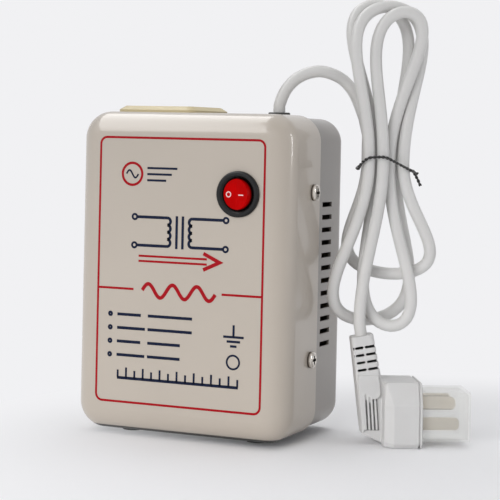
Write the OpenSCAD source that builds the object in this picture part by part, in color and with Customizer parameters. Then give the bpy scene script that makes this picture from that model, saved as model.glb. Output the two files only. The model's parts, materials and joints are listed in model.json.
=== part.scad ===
// Isolation transformer in an upright two-part sheet steel case, with a round rocker switch,
// an outlet on top and a mains lead that is tied into a hank beside it.
// Millimetres. X runs to the right, Y to the rear and Z up. The case stands on Z = 0.
// Modules inside in_case() count Y from the flat front face and Z from the bottom of the front cover.

/* [Case] */
// Width of the front cover
case_w = 119; // [112:0.5:130]
// Height of the front cover
case_h = 163.6; // [158:0.2:180]
// Depth of the whole case
case_d = 81.3; // [81:0.1:95]
// Depth of the front cover, from the front face to the seam
cover_d = 39.9; // [36:0.1:46]
// Radius of the four long corners of the front cover
corner_r = 14; // [12.8:0.1:16]
// Radius of the rounded front edge
front_fillet = 11; // [9:0.1:11.5]
// Radius of the rounded rear edge
rear_fillet = 11; // [9:0.1:11]
// Thickness of the sheet steel
sheet_t = 1.2; // [0.8:0.1:1.4]
// Running gap between the front cover and the rear shell inside it
shell_gap = 0.2; // [0.1:0.05:0.4]
// How far the rear shell reaches forward under the front cover
tongue_l = 25; // [20:0.5:26]

/* [Vents] */
// Number of vent slots on each side
vent_count = 12; // [4:1:14]
// Length of a vent slot, front to rear
vent_l = 13.1; // [8:0.1:18]
// Height of a vent slot
vent_h = 2.5; // [1.5:0.1:3.5]
// Distance from one vent slot to the next
vent_pitch = 6.54; // [5:0.02:8]
// Distance of the vent slots' middle from the front face
vent_y = 53.9; // [52:0.1:58]
// Distance of the top vent slot from the top of the case
vent_drop = 45.8; // [40:0.1:52]

/* [Cover screws] */
// Thread diameter of the cover and transformer screws
screw_d = 4; // [3:0.5:4.5]
// Head diameter
screw_head_d = 8.4; // [7:0.1:9]
// Head height
screw_head_h = 2.4; // [1.8:0.1:3]
// Length under the head
screw_l = 8; // [6:0.5:10]
// Clearance of a screw in its hole, on the radius
screw_clear = 0.25; // [0.1:0.05:0.4]
// Distance of the side screws from the front face
side_screw_y = 31.4; // [28:0.1:34]
// Height of the lower side screws
side_screw_low_z = 39.9; // [30:0.1:50]
// Distance of the upper side screws from the top of the case
side_screw_drop = 39.2; // [30:0.1:48]
// Diameter of a clinch nut
clinch_d = 8; // [7:0.1:9]
// Height of a clinch nut
clinch_h = 3; // [2:0.1:4]

/* [Feet] */
// Height of the rubber feet under the front cover
foot_h = 2; // [1.5:0.1:4]
// Diameter of a foot
foot_d = 12; // [8:0.5:14]
// Distance of a foot's middle from the side of the case
foot_inset = 24; // [20:0.5:30]
// Distance of the front feet from the front face
foot_front_y = 22; // [19:0.5:26]
// Distance of the rear feet from the rear face
foot_rear_inset = 21; // [18:0.5:26]

/* [Switch] */
// Distance of the switch from the right side of the case
switch_inset = 27.5; // [25.5:0.1:29.5]
// Distance of the switch from the top of the case
switch_drop = 40.2; // [37.6:0.1:41.1]
// Diameter of the switch bezel
bezel_d = 23; // [22:0.1:25]
// How far the bezel stands in front of the case
bezel_h = 2; // [1.6:0.1:2.6]
// Diameter of the round opening that holds the rocker
rocker_opening_d = 16.8; // [16.4:0.1:17.2]
// Diameter of the switch barrel behind the case front
barrel_d = 20; // [19.6:0.1:21]
// Length of the barrel behind the case front
barrel_l = 21; // [20:0.5:26]
// Radius of the rocker's ball-shaped rim, about the hinge
rocker_ball_r = 8; // [7.6:0.1:8.1]
// Height of the rocker's face over the hinge, at its rim
rocker_rim_h = 3; // [2.6:0.1:3.4]
// Height of the rocker's face over the hinge, in its middle
rocker_mid_h = 2.1; // [1.8:0.1:2.6]
// Tilt of the rocker to either side
rocker_tilt = 12; // [8:0.5:13]
// Diameter of the rocker's two trunnions
trunnion_d = 3; // [2:0.1:3.4]
// Running clearance of pins in the switch, on the radius
pin_clear = 0.05; // [0.02:0.01:0.09]
// Length of the contact lever inside the switch
lever_l = 11; // [9:0.5:12]
// Tilt of the contact lever to either side
lever_tilt = 7; // [4:0.5:8]

/* [Outlet] */
// Side of the square outlet plate
outlet_side = 45; // [43:0.5:48]
// Distance of the outlet's middle from the left side of the case
outlet_inset = 35; // [33.5:0.5:39]
// Distance of the outlet's middle from the front face
outlet_y = 39.5; // [38.5:0.1:41]
// Height of the outlet plate
outlet_plate_h = 3.3; // [2.6:0.1:4.5]
// Width of the plate's bevelled edge
outlet_bevel = 3; // [1.5:0.1:4]
// Depth of the outlet body below the case top
outlet_depth = 27; // [24:0.5:32]
// Width of the plate's frame round the square insert
outlet_frame_w = 4.5; // [3.5:0.1:5.5]
// Distance between the two inclined pin slots
pin_spacing = 13.7; // [13:0.1:14.5]
// Distance of the earth pin from the line of the other two
earth_drop = 11.5; // [10.5:0.1:13]

/* [Transformer] */
// Room above and below the core, up to the outlet and down to the floor of the case
core_room = 26.3; // [26:0.1:29]
// Room between the core and the front of the case
core_front_gap = 10.1; // [9:0.1:15]
// Thickness of the lamination stack
stack_t = 45; // [38:0.5:50]
// How far the transformer sits below the middle of its room
core_drop = 0.3; // [0:0.1:2]
// Thickness of the frame round the core
frame_t = 1.5; // [1:0.1:2]
// Length of the frame's mounting ears
ear_l = 11; // [9:0.5:12]
// Wall of the bobbin
bobbin_t = 1.2; // [0.8:0.1:1.6]
// Room left between the windings and the core
winding_room = 1.8; // [1.3:0.1:4]

/* [Cord and plug] */
// Diameter of the cord
cord_d = 6.2; // [5.5:0.1:6.4]
// Diameter of the grommet's flange
gland_d = 11.3; // [10:0.1:12.5]
// Distance of the grommet from the right side of the case
gland_inset = 23.8; // [22.5:0.1:25.5]
// Distance of the grommet from the front face
gland_y = 40.6; // [40:0.1:42]
// Height of the grommet's flange over the front cover
gland_h = 1.2; // [0.8:0.1:2]
// Height of the plug's head
plug_h = 32.5; // [31.5:0.1:36]
// Width of the plug's head
plug_w = 36; // [32:0.5:40]
// Length of the plug's head along its pins
plug_l = 19; // [16:0.5:22]
// Thickness of the pins
pin_t = 1.5; // [1.2:0.1:1.8]
// Width of the pins
pin_w = 6.4; // [5:0.1:7]
// Length of the two inclined pins
pin_l = 18; // [15:0.5:20]
// Length of the cap over the pins
cap_l = 24.5; // [23:0.5:28]
// Height of the cap over the pins
cap_h = 25; // [24:0.1:27]
// Width of the cap over the pins
cap_w = 28; // [26:0.5:30]
// Thickness of the twist tie
tie_d = 1.5; // [1:0.1:2]

/* [Hidden] */
$fn = 48;

// One overrun for every cut
over = 1;
// Clearance round a piece that is set in an opening
fit_gap = 0.15;
// Least clearance between pieces that move past each other
move_gap = 0.3;

// Rear shell: its skin lies inside the front cover's
shell_inset = sheet_t + shell_gap;
shell_w = case_w - 2 * shell_inset;
shell_h = case_h - 2 * shell_inset;
shell_r = corner_r - shell_inset;
shell_y0 = cover_d - tongue_l;
shell_top_z = case_h - shell_inset;
back_y = case_d - sheet_t;

// Places that follow the sides and the top of the case
vent_top_z = case_h - vent_drop;
side_screw_high_z = case_h - side_screw_drop;
switch_x = case_w / 2 - switch_inset;
switch_z = case_h - switch_drop;
outlet_x = outlet_inset - case_w / 2;
gland_x = case_w / 2 - gland_inset;

// Rocker: hinge depth behind the bezel's face puts the pressed edge a little below that face
rocker_sink = 1;
rim_r = sqrt(pow(rocker_ball_r, 2) - pow(rocker_rim_h, 2));
hinge_y = rocker_rim_h * cos(rocker_tilt) - rim_r * sin(rocker_tilt) + rocker_sink - bezel_h;
rocker_reach = rocker_rim_h * cos(rocker_tilt) + rim_r * sin(rocker_tilt) - hinge_y;

// The case is centred on its own reach, from the raised rocker to the screw heads at the rear
front_y = (rocker_reach - case_d - screw_head_h) / 2;

// Hex nut and washer-like parts of the screws
nut_flats = 1.75 * screw_d;
nut_h = 0.8 * screw_d;
recess_w = 0.28 * screw_d;
recess_l = 1.1 * screw_d;

// Switch: barrel wall, back and the posts that carry the lever and the lamp
barrel_back_t = 2;
bearing_wall = 0.3;
cavity_end_y = barrel_l - barrel_back_t;
trunnion_l = barrel_d - 2 * bearing_wall - 2 * fit_gap;
stem_d = 3;
stem_l = 9;
lever_t = 0.8;
lever_w = 4;
lever_pin_d = 1.6;
post_t = 1.4;
tab_w = 6.3;
lever_post_z = tab_w / 2 + move_gap;
lever_pin_l = 2 * (lever_post_z + post_t);
lever_y = hinge_y + norm([stem_l, stem_d / 2]) + move_gap + lever_pin_d / 2;
post_w = 3;
tab_t = 0.8;
tab_l = 8;
tab_shift = 5.2;
lamp_d = 2.4;
lamp_l = 7;
lamp_z = 6.3;
lamp_y = hinge_y + stem_l;
wing_l = 7;
wing_h = 6;
wing_t = 1;

// Outlet: apertures are round holes crossed by a slot
outlet_corner_r = 5;
outlet_lip = 2.5;
outlet_body_side = outlet_side - 2 * outlet_lip;
insert_side = outlet_side - 2 * outlet_frame_w;
outlet_rim_gap = fit_gap;
insert_face_t = 2.4;
aperture_d = 6.2;
aperture_slot_w = 2.2;
aperture_slot_l = 9;
pocket_side = 8.4;
pocket_depth = 15;
pin_incline = 30;
leaf_t = 0.6;
leaf_gap = 5.8;
leaf_w = 6;
outlet_tag_l = 6;
snap_rib_w = 12;
clip_t = 1.2;
clip_h = 5;
contact_places = [
    [-pin_spacing / 2, earth_drop / 2, -pin_incline],
    [pin_spacing / 2, earth_drop / 2, pin_incline],
    [0, -earth_drop / 2, 0]
];

// Transformer core, counted from the rear wall: the largest lamination that its room takes.
// The centre leg is two units wide.
lam_unit_w = min((case_h - outlet_depth - 2 * core_room) / 6, (back_y - core_front_gap) / 5);
core_z = (case_h - outlet_depth) / 2 - core_drop;
core_h = 6 * lam_unit_w;
leg_l = 3 * lam_unit_w;
core_i_y = back_y - 5 * lam_unit_w;
leg_tip_y = core_i_y + lam_unit_w;
flange_z = 2 * lam_unit_w + 2 * (lam_unit_w - bobbin_t / 2);
flange_x = stack_t + 2 * (lam_unit_w - bobbin_t / 2);
bobbin_l = leg_l - 2 * fit_gap;
section_l = (bobbin_l - 3 * bobbin_t) / 2;
wrap_t = 0.4;
winding_t = lam_unit_w - bobbin_t - wrap_t - winding_room;
winding_r = 4;
frame_inset = 2;
frame_w = stack_t - 2 * frame_inset;
ear_hole_inset = 8;
ear_hole_shift = 1;
ear_hole_x = frame_w / 2 - ear_hole_inset;
ear_hole_z = core_h / 2 + frame_t + ear_l / 2 + ear_hole_shift;
tag_w = 1.2;
tag_t = 0.5;
tag_l = 5;
tag_rows = 3;
tag_pitch = 16;
tag_x = (stack_t + flange_x) / 4;
tag_root_y = leg_tip_y + fit_gap;
cutout_margin = 2.5;
cutout_size = [3.6, section_l - 2 * cutout_margin, 8];
cutout_place = [
    stack_t / 2 + fit_gap + bobbin_t + winding_t + wrap_t + cutout_size[0] / 2,
    leg_tip_y + fit_gap + bobbin_t + section_l / 2,
    core_z
];

// Earth point on the rear wall
earth_inset = 19.5;
earth_drop_z = 24.6;
earth_x = case_w / 2 - earth_inset;
earth_z = case_h - earth_drop_z;
earth_stud_l = 14;
lug_t = 0.8;
lug_d = 9;

// Grommet and what holds the cord inside
gland_notch_gap = 0.4;
gland_neck_d = 9;
gland_lower_d = 12;
gland_lower_h = 1.4;
gland_top_z = case_h + gland_h;
clamp_d = 13;
clamp_h = 7;
clamp_slot = 1.2;
inner_end_l = 26;

// Wires inside the case: diameter, faces, and steps of their curve between two points
core_wire_d = 2.2;
wire_sides = 6;
wire_steps = 3;
core_spread = 1.1 * core_wire_d;
// Where the wires start and end, and their directions there, in lengths of two diameters
cord_end = [gland_x, gland_y, gland_top_z - inner_end_l];
switch_tab = [switch_x, barrel_l + tab_l, switch_z];
lug_end = [earth_x - lug_d - lug_t, back_y - core_wire_d / 2 - 3 * move_gap, earth_z];
down = [0, 0, -2];
rearward = [0, 2, 0];
forward = [0, -2, 0];
// Points of each wire between its two ends, as shares of the width, depth and height of the case
live_in_route_shares = [[0.311, 0.467, 0.813], [0.315, 0.455, 0.776]];
live_out_route_shares = [
    [0.277, 0.418, 0.74], [0.336, 0.431, 0.678], [0.345, 0.332, 0.599], [0.286, 0.197, 0.538]
];
neutral_in_route_shares = [
    [0.277, 0.517, 0.801], [0.37, 0.529, 0.685], [0.37, 0.467, 0.55], [0.319, 0.431, 0.477]
];
neutral_out_route_shares = [[0.319, 0.406, 0.355], [0.336, 0.295, 0.33], [0.286, 0.191, 0.318]];
output_route_shares = [
    [[-0.328, 0.185, 0.489], [-0.353, 0.32, 0.636], [-0.286, 0.504, 0.727]],
    [[-0.244, 0.185, 0.599], [-0.218, 0.332, 0.697], [-0.155, 0.517, 0.746]]
];
earth_in_route_shares = [[0.311, 0.566, 0.813], [0.252, 0.738, 0.801], [0.185, 0.898, 0.831]];
earth_out_route_shares = [
    [-0.202, 0.431, 0.758], [-0.151, 0.615, 0.746], [0, 0.861, 0.77], [0.151, 0.959, 0.825]
];

// Plug: its own frame has X along the pins, Z up and the origin under the middle of its pin face
plug_x = 107.6;
plug_y = 59.3;
plug_turn = 28;
plug_outline_share = [
    [-0.445, 0], [-0.5, 0.08], [-0.5, 0.65], [-0.365, 1], [0.365, 1], [0.5, 0.65], [0.5, 0.08], [0.445, 0]
];
plug_round = 1.2;
plug_rear_shares = [0.84, 0.97];
plug_front_share = 0.96;
plug_full_share = 0.76;
plug_groove_l = 0.7;
plug_groove_x = 2.2;
plug_groove_share = 0.965;

// Strain relief: it leans away from the pins; its top and low end have a thickness along the pins and a width
relief_tilt = 9.6;
relief_back = 7.3;
relief_low_z = 35;
relief_l = 19.9;
relief_top = [11.6, 11];
relief_low = [12.8, 13];
relief_round = 2.2;
relief_rows = 4;
relief_pitch = 3.72;
relief_slot_h = 1.2;
relief_slot_depth = 2.6;
relief_lip = 5.2;
relief_web = 1;
relief_low_x = -plug_l - relief_back;

// Grip slab between the head and the relief, with upright ribs on both sides
grip_w = 14.6;
grip_raise = 0.5;
grip_foot_z = 5.4;
grip_foot_in = 3.8;
grip_waist_z = 17;
grip_waist_in = 2.6;
grip_rib_w = 1.2;
grip_rib_pitch = 2.1;
grip_rib_count = 4;
grip_rib_low_z = 7.5;
grip_rib_gap = 1.5;
grip_groove = 0.6;
tongue_r = 3;
tongue_rear_z = 30;
tongue_front_z = 26;
grip_rear_x = relief_low_x - relief_low[0] / 2;
earth_pin_l = 21.5;
pin_row_share = 0.66;
pin_row_z = pin_row_share * plug_h;
cap_wall = 1.1;
cap_low_z = 2.8;
cap_round = 2;
cap_rim = 1.4;

// Hank: sideways and depth axes as the hank hangs, and the middle of its waist
hank_turn = 24.14;
hank_x = 89.7;
hank_y = 50;
waist_z = 142;
// Where each of the seven strands passes the waist, in cord pitches: sideways, depth
strand_pitch = cord_d + 1;
strand_shares = [[-1, 1.74], [1.5, 0.87], [-1, 0], [1, 1.74], [-0.5, 0.87], [0.5, 0.87], [0, 0]];
// One row for each of the six lobes, in the order in which the cord winds:
// direction (1 up, -1 down), first leg's side, reach, shift of its middle, half width, bulge in depth, skew
lobes = [
    [-1, -1, 57, 4.5, 15.5, 2.5, 2],
    [1, 1, 80, 1, 12, 1.5, 5.5],
    [-1, -1, 81, -6.5, 15.5, 6, -4],
    [1, 1, 81, -6, 11.5, 0.5, 3.5],
    [-1, -1, 83, 6, 9.8, -2, 2],
    [1, 1, 77, 8, 10.2, -4, -1]
];
lobe_rings = 12;
tail_rings = 8;
hank_sides = 6;
hank_start_z = 150;
waist_straight = 3;
// Peak of the lobe's width curve, which scales it to one
lobe_peak_share = 0.7698;

// Twist tie: gap to the strands, rings, lift and slope of its loop, most that the slope lowers it,
// radius of its sag to both sides, and its knot
tie_gap = 1.4;
tie_rings = 32;
tie_lift = 3.2;
tie_slope_share = 0.6;
tie_fall = 3;
tie_sag_r = 28;
tie_knot_angle = 15;
tie_tail_l = 9;

// Route of the lead from the grommet to the hank, counted from the middle of the case at floor level
lead_points = [
    [35.7, 0.8, 170.4], [37, 1.5, 175], [39.5, 2.5, 180], [43.5, 4.5, 184.5], [49, 7, 187.5],
    [55, 9.5, 188.5], [60.5, 13, 187], [65, 16.5, 184], [69.5, 18.5, 178.5], [72, 21, 172], [74.5, 22, 165]
];
lead_sides = 8;
// How finely the cord is measured: more rings for each lobe, and points that count as neighbours
fine_steps = 3;
gap_skip = 9;

// Steps of a fine rounding and of one that only small pieces have
hull_fn = 32;
small_fn = 24;

// Puts its children into the case's own frame
module in_case() {
    translate([0, front_y, foot_h])
        children();
}

// Block with rounded long corners and a rounded front edge, from y = 0 to y = d, centred on x and on h / 2
module rounded_block(w, h, d, r, f) {
    a = w / 2 - r;
    b = h / 2 - r;
    translate([0, 0, h / 2]) {
        translate([-a, 0, 0])
            rotate([90, 0, 90])
                linear_extrude(2 * a)
                    edge_profile(h, d, f);
        for (side = [0, 1])
            mirror([side, 0, 0])
                translate([a, 0, -b])
                    linear_extrude(2 * b)
                        half_profile(r, d, f);
        for (mx = [0, 1], mz = [0, 1])
            mirror([mx, 0, 0])
                mirror([0, 0, mz])
                    translate([a, 0, b])
                        rotate([-90, 0, 0])
                            rotate([0, 0, -90])
                                rotate_extrude(angle = 90)
                                    half_profile(r, d, f);
    }
}

// Section of a block of height h and depth d with both front corners rounded by f; depth runs along x
module edge_profile(h, d, f) {
    for (side = [0, 1])
        mirror([0, side, 0])
            translate([f, h / 2 - f])
                circle(f);
    translate([f, -h / 2])
        square([d - f, h]);
    translate([0, -(h / 2 - f)])
        square([f, h - 2 * f]);
}

// Half of such a section, from x = 0 to x = r, with its front corner rounded by f; depth runs along y
module half_profile(r, d, f) {
    intersection() {
        translate([r - f, f])
            circle(f);
        square([r, f]);
    }
    translate([0, f])
        square([r, d - f]);
    square([r - f, f]);
}

// Square with round corners, centred
module round_square(w, h, r) {
    square([w - 2 * r, h], center = true);
    square([w, h - 2 * r], center = true);
    for (x = [-1, 1], y = [-1, 1])
        translate([x * (w / 2 - r), y * (h / 2 - r)])
            circle(r);
}

// Cylinder along y that starts at y = 0
module y_rod(d, l) {
    rotate([-90, 0, 0])
        cylinder(d = d, h = l);
}

// Pan-head screw along -z with a crossed recess; the head's underside lies at z = 0
module pan_screw(l) {
    difference() {
        union() {
            translate([0, 0, -l])
                cylinder(d = screw_d, h = l);
            rotate_extrude()
                pan_profile();
        }
        for (a = [0, 90])
            rotate([0, 0, a])
                translate([-recess_l / 2, -recess_w / 2, screw_head_h / 2])
                    cube([recess_l, recess_w, screw_head_h]);
    }
}

// Half section of a pan head with a rounded rim
module pan_profile() {
    rim = screw_head_h / 2;
    square([screw_head_d / 2 - rim, screw_head_h]);
    square([screw_head_d / 2, rim]);
    translate([screw_head_d / 2 - rim, rim])
        intersection() {
            circle(rim);
            square(rim);
        }
}

// Places of the four side screws, each pointing outwards along +z
module at_side_screws() {
    for (side = [-1, 1], z = [side_screw_low_z, side_screw_high_z])
        translate([side * case_w / 2, side_screw_y, z])
            rotate([0, side * 90, 0])
                children();
}

// Places of the four transformer screws on the rear wall, each pointing to the rear along +z
module at_ear_holes() {
    for (x = [-1, 1], z = [-1, 1])
        translate([x * ear_hole_x, case_d, core_z + z * ear_hole_z])
            rotate([-90, 0, 0])
                children();
}

// Opening in the case top for the outlet body
module outlet_cut(clear) {
    side = outlet_body_side + 2 * clear;
    translate([outlet_x - side / 2, outlet_y - side / 2, case_h - front_fillet])
        cube([side, side, front_fillet + over]);
}

// Front cover: a deep drawn shell that slides over the rear shell
module front_cover() {
    notch_d = gland_d + 2 * gland_notch_gap;
    side = outlet_body_side + 2 * fit_gap;
    color([0.74, 0.71, 0.68])
        in_case()
            difference() {
                rounded_block(case_w, case_h, cover_d, corner_r, front_fillet);
                translate([0, sheet_t, sheet_t])
                    rounded_block(case_w - 2 * sheet_t, case_h - 2 * sheet_t, cover_d + over,
                        corner_r - sheet_t, front_fillet - sheet_t);
                translate([switch_x, -over, switch_z])
                    y_rod(barrel_d + 2 * fit_gap, front_fillet);
                at_side_screws()
                    translate([0, 0, -sheet_t - over])
                        cylinder(r = screw_d / 2 + screw_clear, h = sheet_t + 2 * over);
                translate([outlet_x - side / 2, outlet_y - side / 2, case_h - sheet_t - over])
                    cube([side, side, sheet_t + 2 * over]);
                translate([gland_x, gland_y, case_h - sheet_t - over])
                    cylinder(d = notch_d, h = sheet_t + 2 * over);
            }
}

// Rear cover: the shell that carries the transformer, with a tongue under the front cover
module rear_cover() {
    color([0.58, 0.56, 0.54])
        in_case()
            difference() {
                translate([0, case_d, shell_inset])
                    mirror([0, 1, 0])
                        rounded_block(shell_w, shell_h, case_d - shell_y0, shell_r, rear_fillet);
                translate([0, back_y, shell_inset + sheet_t])
                    mirror([0, 1, 0])
                        rounded_block(shell_w - 2 * sheet_t, shell_h - 2 * sheet_t, back_y - shell_y0 + over,
                            shell_r - sheet_t, rear_fillet - sheet_t);
                for (i = [0 : vent_count - 1])
                    translate([-case_w / 2, vent_y - vent_l / 2, vent_top_z - i * vent_pitch - vent_h / 2])
                        cube([case_w, vent_l, vent_h]);
                at_side_screws()
                    translate([0, 0, -shell_inset - sheet_t - over])
                        cylinder(r = screw_d / 2 + screw_clear, h = sheet_t + shell_inset);
                at_ear_holes()
                    translate([0, 0, -sheet_t - over])
                        cylinder(r = screw_d / 2 + screw_clear, h = sheet_t + 2 * over);
                outlet_cut(fit_gap);
                translate([gland_x, gland_y, shell_top_z - sheet_t - over])
                    cylinder(d = gland_neck_d + 2 * fit_gap, h = sheet_t + 2 * over);
            }
}

// Four pan-head screws that hold the front cover
module cover_screws() {
    color([0.78, 0.77, 0.74])
        in_case()
            at_side_screws()
                pan_screw(screw_l);
}

// Four clinch nuts on the inside of the rear cover's tongue
module clinch_nuts() {
    color([0.7, 0.69, 0.66])
        in_case()
            at_side_screws()
                translate([0, 0, -shell_inset - sheet_t - clinch_h])
                    difference() {
                        cylinder(d = clinch_d, h = clinch_h);
                        translate([0, 0, -over])
                            cylinder(r = screw_d / 2 + pin_clear, h = clinch_h + 2 * over);
                    }
}

// Four rubber feet; the rear pair is taller because the rear cover lies higher
module feet() {
    color([0.1, 0.1, 0.1])
        for (side = [-1, 1]) {
            translate([side * (case_w / 2 - foot_inset), front_y + foot_front_y, 0])
                foot(foot_h);
            translate([side * (case_w / 2 - foot_inset), front_y + case_d - foot_rear_inset, 0])
                foot(foot_h + shell_inset);
        }
}

// One foot of the given height with a chamfered edge
module foot(h) {
    edge = foot_h / 4;
    rotate_extrude()
        polygon([[0, 0], [foot_d / 2 - edge, 0], [foot_d / 2, edge], [foot_d / 2, h], [0, h]]);
}

// Bevelled frame of the outlet; it rests on the front cover's top
module outlet_plate() {
    hole = insert_side + 2 * outlet_rim_gap;
    top = outlet_side - 2 * outlet_bevel;
    color([0.84, 0.8, 0.66])
        in_case()
            translate([outlet_x, outlet_y, case_h])
                difference() {
                    hull() {
                        linear_extrude(outlet_plate_h - outlet_bevel * 2 / 3)
                            round_square(outlet_side, outlet_side, outlet_corner_r, $fn = hull_fn);
                        linear_extrude(outlet_plate_h)
                            round_square(top, top, outlet_corner_r - outlet_bevel / 2, $fn = hull_fn);
                    }
                    translate([-hole / 2, -hole / 2, -over])
                        cube([hole, hole, outlet_plate_h + 2 * over]);
                }
}

// Insert of the outlet: face with three apertures, pockets behind them, and snap ribs under the case top
module outlet_insert() {
    body = outlet_body_side;
    color([0.8, 0.76, 0.62])
        in_case()
            translate([outlet_x, outlet_y, case_h])
                difference() {
                    union() {
                        translate([-insert_side / 2, -insert_side / 2, 0])
                            cube([insert_side, insert_side, outlet_plate_h]);
                        translate([-body / 2, -body / 2, -outlet_depth])
                            cube([body, body, outlet_depth]);
                        for (side = [0, 1])
                            mirror([side, 0, 0])
                                translate([body / 2, 0, -shell_inset - sheet_t - fit_gap])
                                    snap_rib();
                    }
                    for (place = contact_places)
                        translate([place[0], place[1], 0])
                            rotate([0, 0, place[2]])
                                outlet_pocket();
                }
}

// Snap rib on the outlet body; its upper face lies at z = 0
module snap_rib() {
    rotate([90, 0, 0])
        linear_extrude(snap_rib_w, center = true)
            polygon([[-fit_gap, 0], [clip_t, 0], [0, -clip_h], [-fit_gap, -clip_h]]);
}

// Aperture with its round middle and slot, and the pocket that holds a contact
module outlet_pocket() {
    pocket_top = outlet_plate_h - insert_face_t;
    translate([0, 0, pocket_top - over]) {
        cylinder(d = aperture_d, h = insert_face_t + 2 * over);
        translate([-aperture_slot_w / 2, -aperture_slot_l / 2, 0])
            cube([aperture_slot_w, aperture_slot_l, insert_face_t + 2 * over]);
    }
    translate([-pocket_side / 2, -pocket_side / 2, pocket_top - pocket_depth])
        cube([pocket_side, pocket_side, pocket_depth]);
    translate([-leaf_w / 2, -leaf_t / 2 - fit_gap, -outlet_depth - over])
        cube([leaf_w + fit_gap, leaf_t + 2 * fit_gap, outlet_depth]);
}

// Three brass contacts, each two leaves on a base with a tag below the body
module outlet_contacts() {
    color([0.8, 0.66, 0.34])
        in_case()
            translate([outlet_x, outlet_y, case_h])
                for (place = contact_places)
                    translate([place[0], place[1], 0])
                        rotate([0, 0, place[2]])
                            outlet_contact();
}

// One contact, from the pocket floor up to just below its face
module outlet_contact() {
    floor_z = outlet_plate_h - insert_face_t - pocket_depth;
    leaf_h = pocket_depth - 2 * leaf_t;
    tag_end = outlet_depth + outlet_tag_l;
    span = leaf_gap + 2 * leaf_t;
    translate([-span / 2, -leaf_w / 2, floor_z])
        cube([span, leaf_w, leaf_t]);
    for (side = [0, 1])
        mirror([side, 0, 0])
            translate([leaf_gap / 2, -leaf_w / 2, floor_z])
                cube([leaf_t, leaf_w, leaf_h]);
    translate([-leaf_w / 2 + fit_gap, -leaf_t / 2, -tag_end])
        cube([leaf_w - fit_gap, leaf_t, tag_end + floor_z + leaf_t / 2]);
}

// Switch housing: round bezel, barrel with a closed back, snap wings and the posts inside
module switch_housing() {
    color([0.12, 0.14, 0.13])
        in_case()
            translate([switch_x, 0, switch_z]) {
                difference() {
                    union() {
                        rotate([90, 0, 0])
                            rotate_extrude()
                                bezel_profile();
                        y_rod(barrel_d, barrel_l);
                    }
                    translate([0, -bezel_h - over, 0])
                        y_rod(rocker_opening_d, bezel_h + over + cavity_end_y);
                    translate([0, hinge_y, -barrel_d / 2 + bearing_wall])
                        cylinder(r = trunnion_d / 2 + pin_clear, h = barrel_d - 2 * bearing_wall);
                    for (x = [-1, 0, 1])
                        translate([x * tab_shift - tab_t / 2 - pin_clear, cavity_end_y - over,
                            -tab_w / 2 - pin_clear])
                            cube([tab_t + 2 * pin_clear, barrel_back_t + 2 * over, tab_w + 2 * pin_clear]);
                }
                for (side = [0, 1])
                    mirror([0, 0, side])
                        lever_post();
                lamp_post();
                for (side = [0, 1])
                    mirror([side, 0, 0])
                        snap_wing();
            }
}

// Half section of the bezel, with a rounded rim and a coned mouth; its height runs along y
module bezel_profile() {
    round = bezel_h / 2;
    mouth = rocker_opening_d / 2;
    polygon([[mouth - over, 0], [bezel_d / 2, 0], [bezel_d / 2, round], [bezel_d / 2 - round, bezel_h],
        [mouth + round, bezel_h], [mouth, round], [mouth - over, round]]);
    translate([bezel_d / 2 - round, round])
        circle(round);
}

// Post with the lever's bearing hole, rising from the cavity's back
module lever_post() {
    z0 = lever_post_z;
    difference() {
        translate([-post_w / 2, lever_y - post_w / 2, z0])
            cube([post_w, cavity_end_y - lever_y + post_w / 2 + fit_gap, post_t]);
        translate([0, lever_y, z0 - over])
            cylinder(r = lever_pin_d / 2 + pin_clear, h = post_t + 2 * over);
    }
}

// Post that carries the lamp from the cavity's back
module lamp_post() {
    start_y = lamp_y + lamp_d / 2;
    translate([-post_w / 2, start_y, lamp_z - post_t / 2])
        cube([post_w, cavity_end_y - start_y + fit_gap, post_t]);
}

// Snap wing that holds the switch behind the case front
module snap_wing() {
    translate([0, 0, -wing_h / 2])
        linear_extrude(wing_h)
            polygon([[barrel_d / 2 - fit_gap, sheet_t + fit_gap], [barrel_d / 2 + wing_t, sheet_t + fit_gap],
                [barrel_d / 2 - fit_gap, sheet_t + wing_l]]);
}

// Red rocker with a ball-shaped rim, two trunnions and the stem that works the lever
module switch_rocker() {
    color([0.75, 0.05, 0.07, 0.9])
        in_case()
            translate([switch_x, hinge_y, switch_z])
                rotate([0, 0, -rocker_tilt]) {
                    intersection() {
                        sphere(rocker_ball_r, $fn = $fn);
                        translate([0, 0, -rocker_ball_r])
                            linear_extrude(2 * rocker_ball_r)
                                rocker_profile();
                    }
                    translate([0, 0, -trunnion_l / 2])
                        cylinder(d = trunnion_d, h = trunnion_l);
                    y_rod(stem_d, stem_l);
                }
}

// Section of the rocker across its hinge: shallow valley in front, flat behind
module rocker_profile() {
    r = rocker_ball_r;
    polygon([[-r, -rocker_rim_h], [0, -rocker_mid_h], [r, -rocker_rim_h], [r, r / 2], [-r, r / 2]]);
}

// Contact lever: it tips the other way when the rocker is pressed
module switch_lever() {
    color([0.8, 0.55, 0.3])
        in_case()
            translate([switch_x, lever_y, switch_z])
                rotate([0, 0, lever_tilt]) {
                    translate([-lever_l / 2, -lever_t / 2, -lever_w / 2])
                        cube([lever_l, lever_t, lever_w]);
                    translate([0, 0, -lever_pin_l / 2])
                        cylinder(d = lever_pin_d, h = lever_pin_l);
                }
}

// Three flat tabs through the barrel's back
module switch_terminals() {
    inner_end = cavity_end_y - 1.5 * tab_t;
    color([0.82, 0.78, 0.62])
        in_case()
            translate([switch_x, 0, switch_z])
                for (x = [-1, 0, 1])
                    translate([x * tab_shift - tab_t / 2, inner_end, -tab_w / 2])
                        cube([tab_t, barrel_l + tab_l - inner_end, tab_w]);
}

// Neon lamp behind the rocker
module switch_lamp() {
    color([0.9, 0.6, 0.4, 0.7])
        in_case()
            translate([switch_x - lamp_l / 2, lamp_y, switch_z + lamp_z])
                rotate([0, 90, 0])
                    cylinder(d = lamp_d, h = lamp_l);
}

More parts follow.
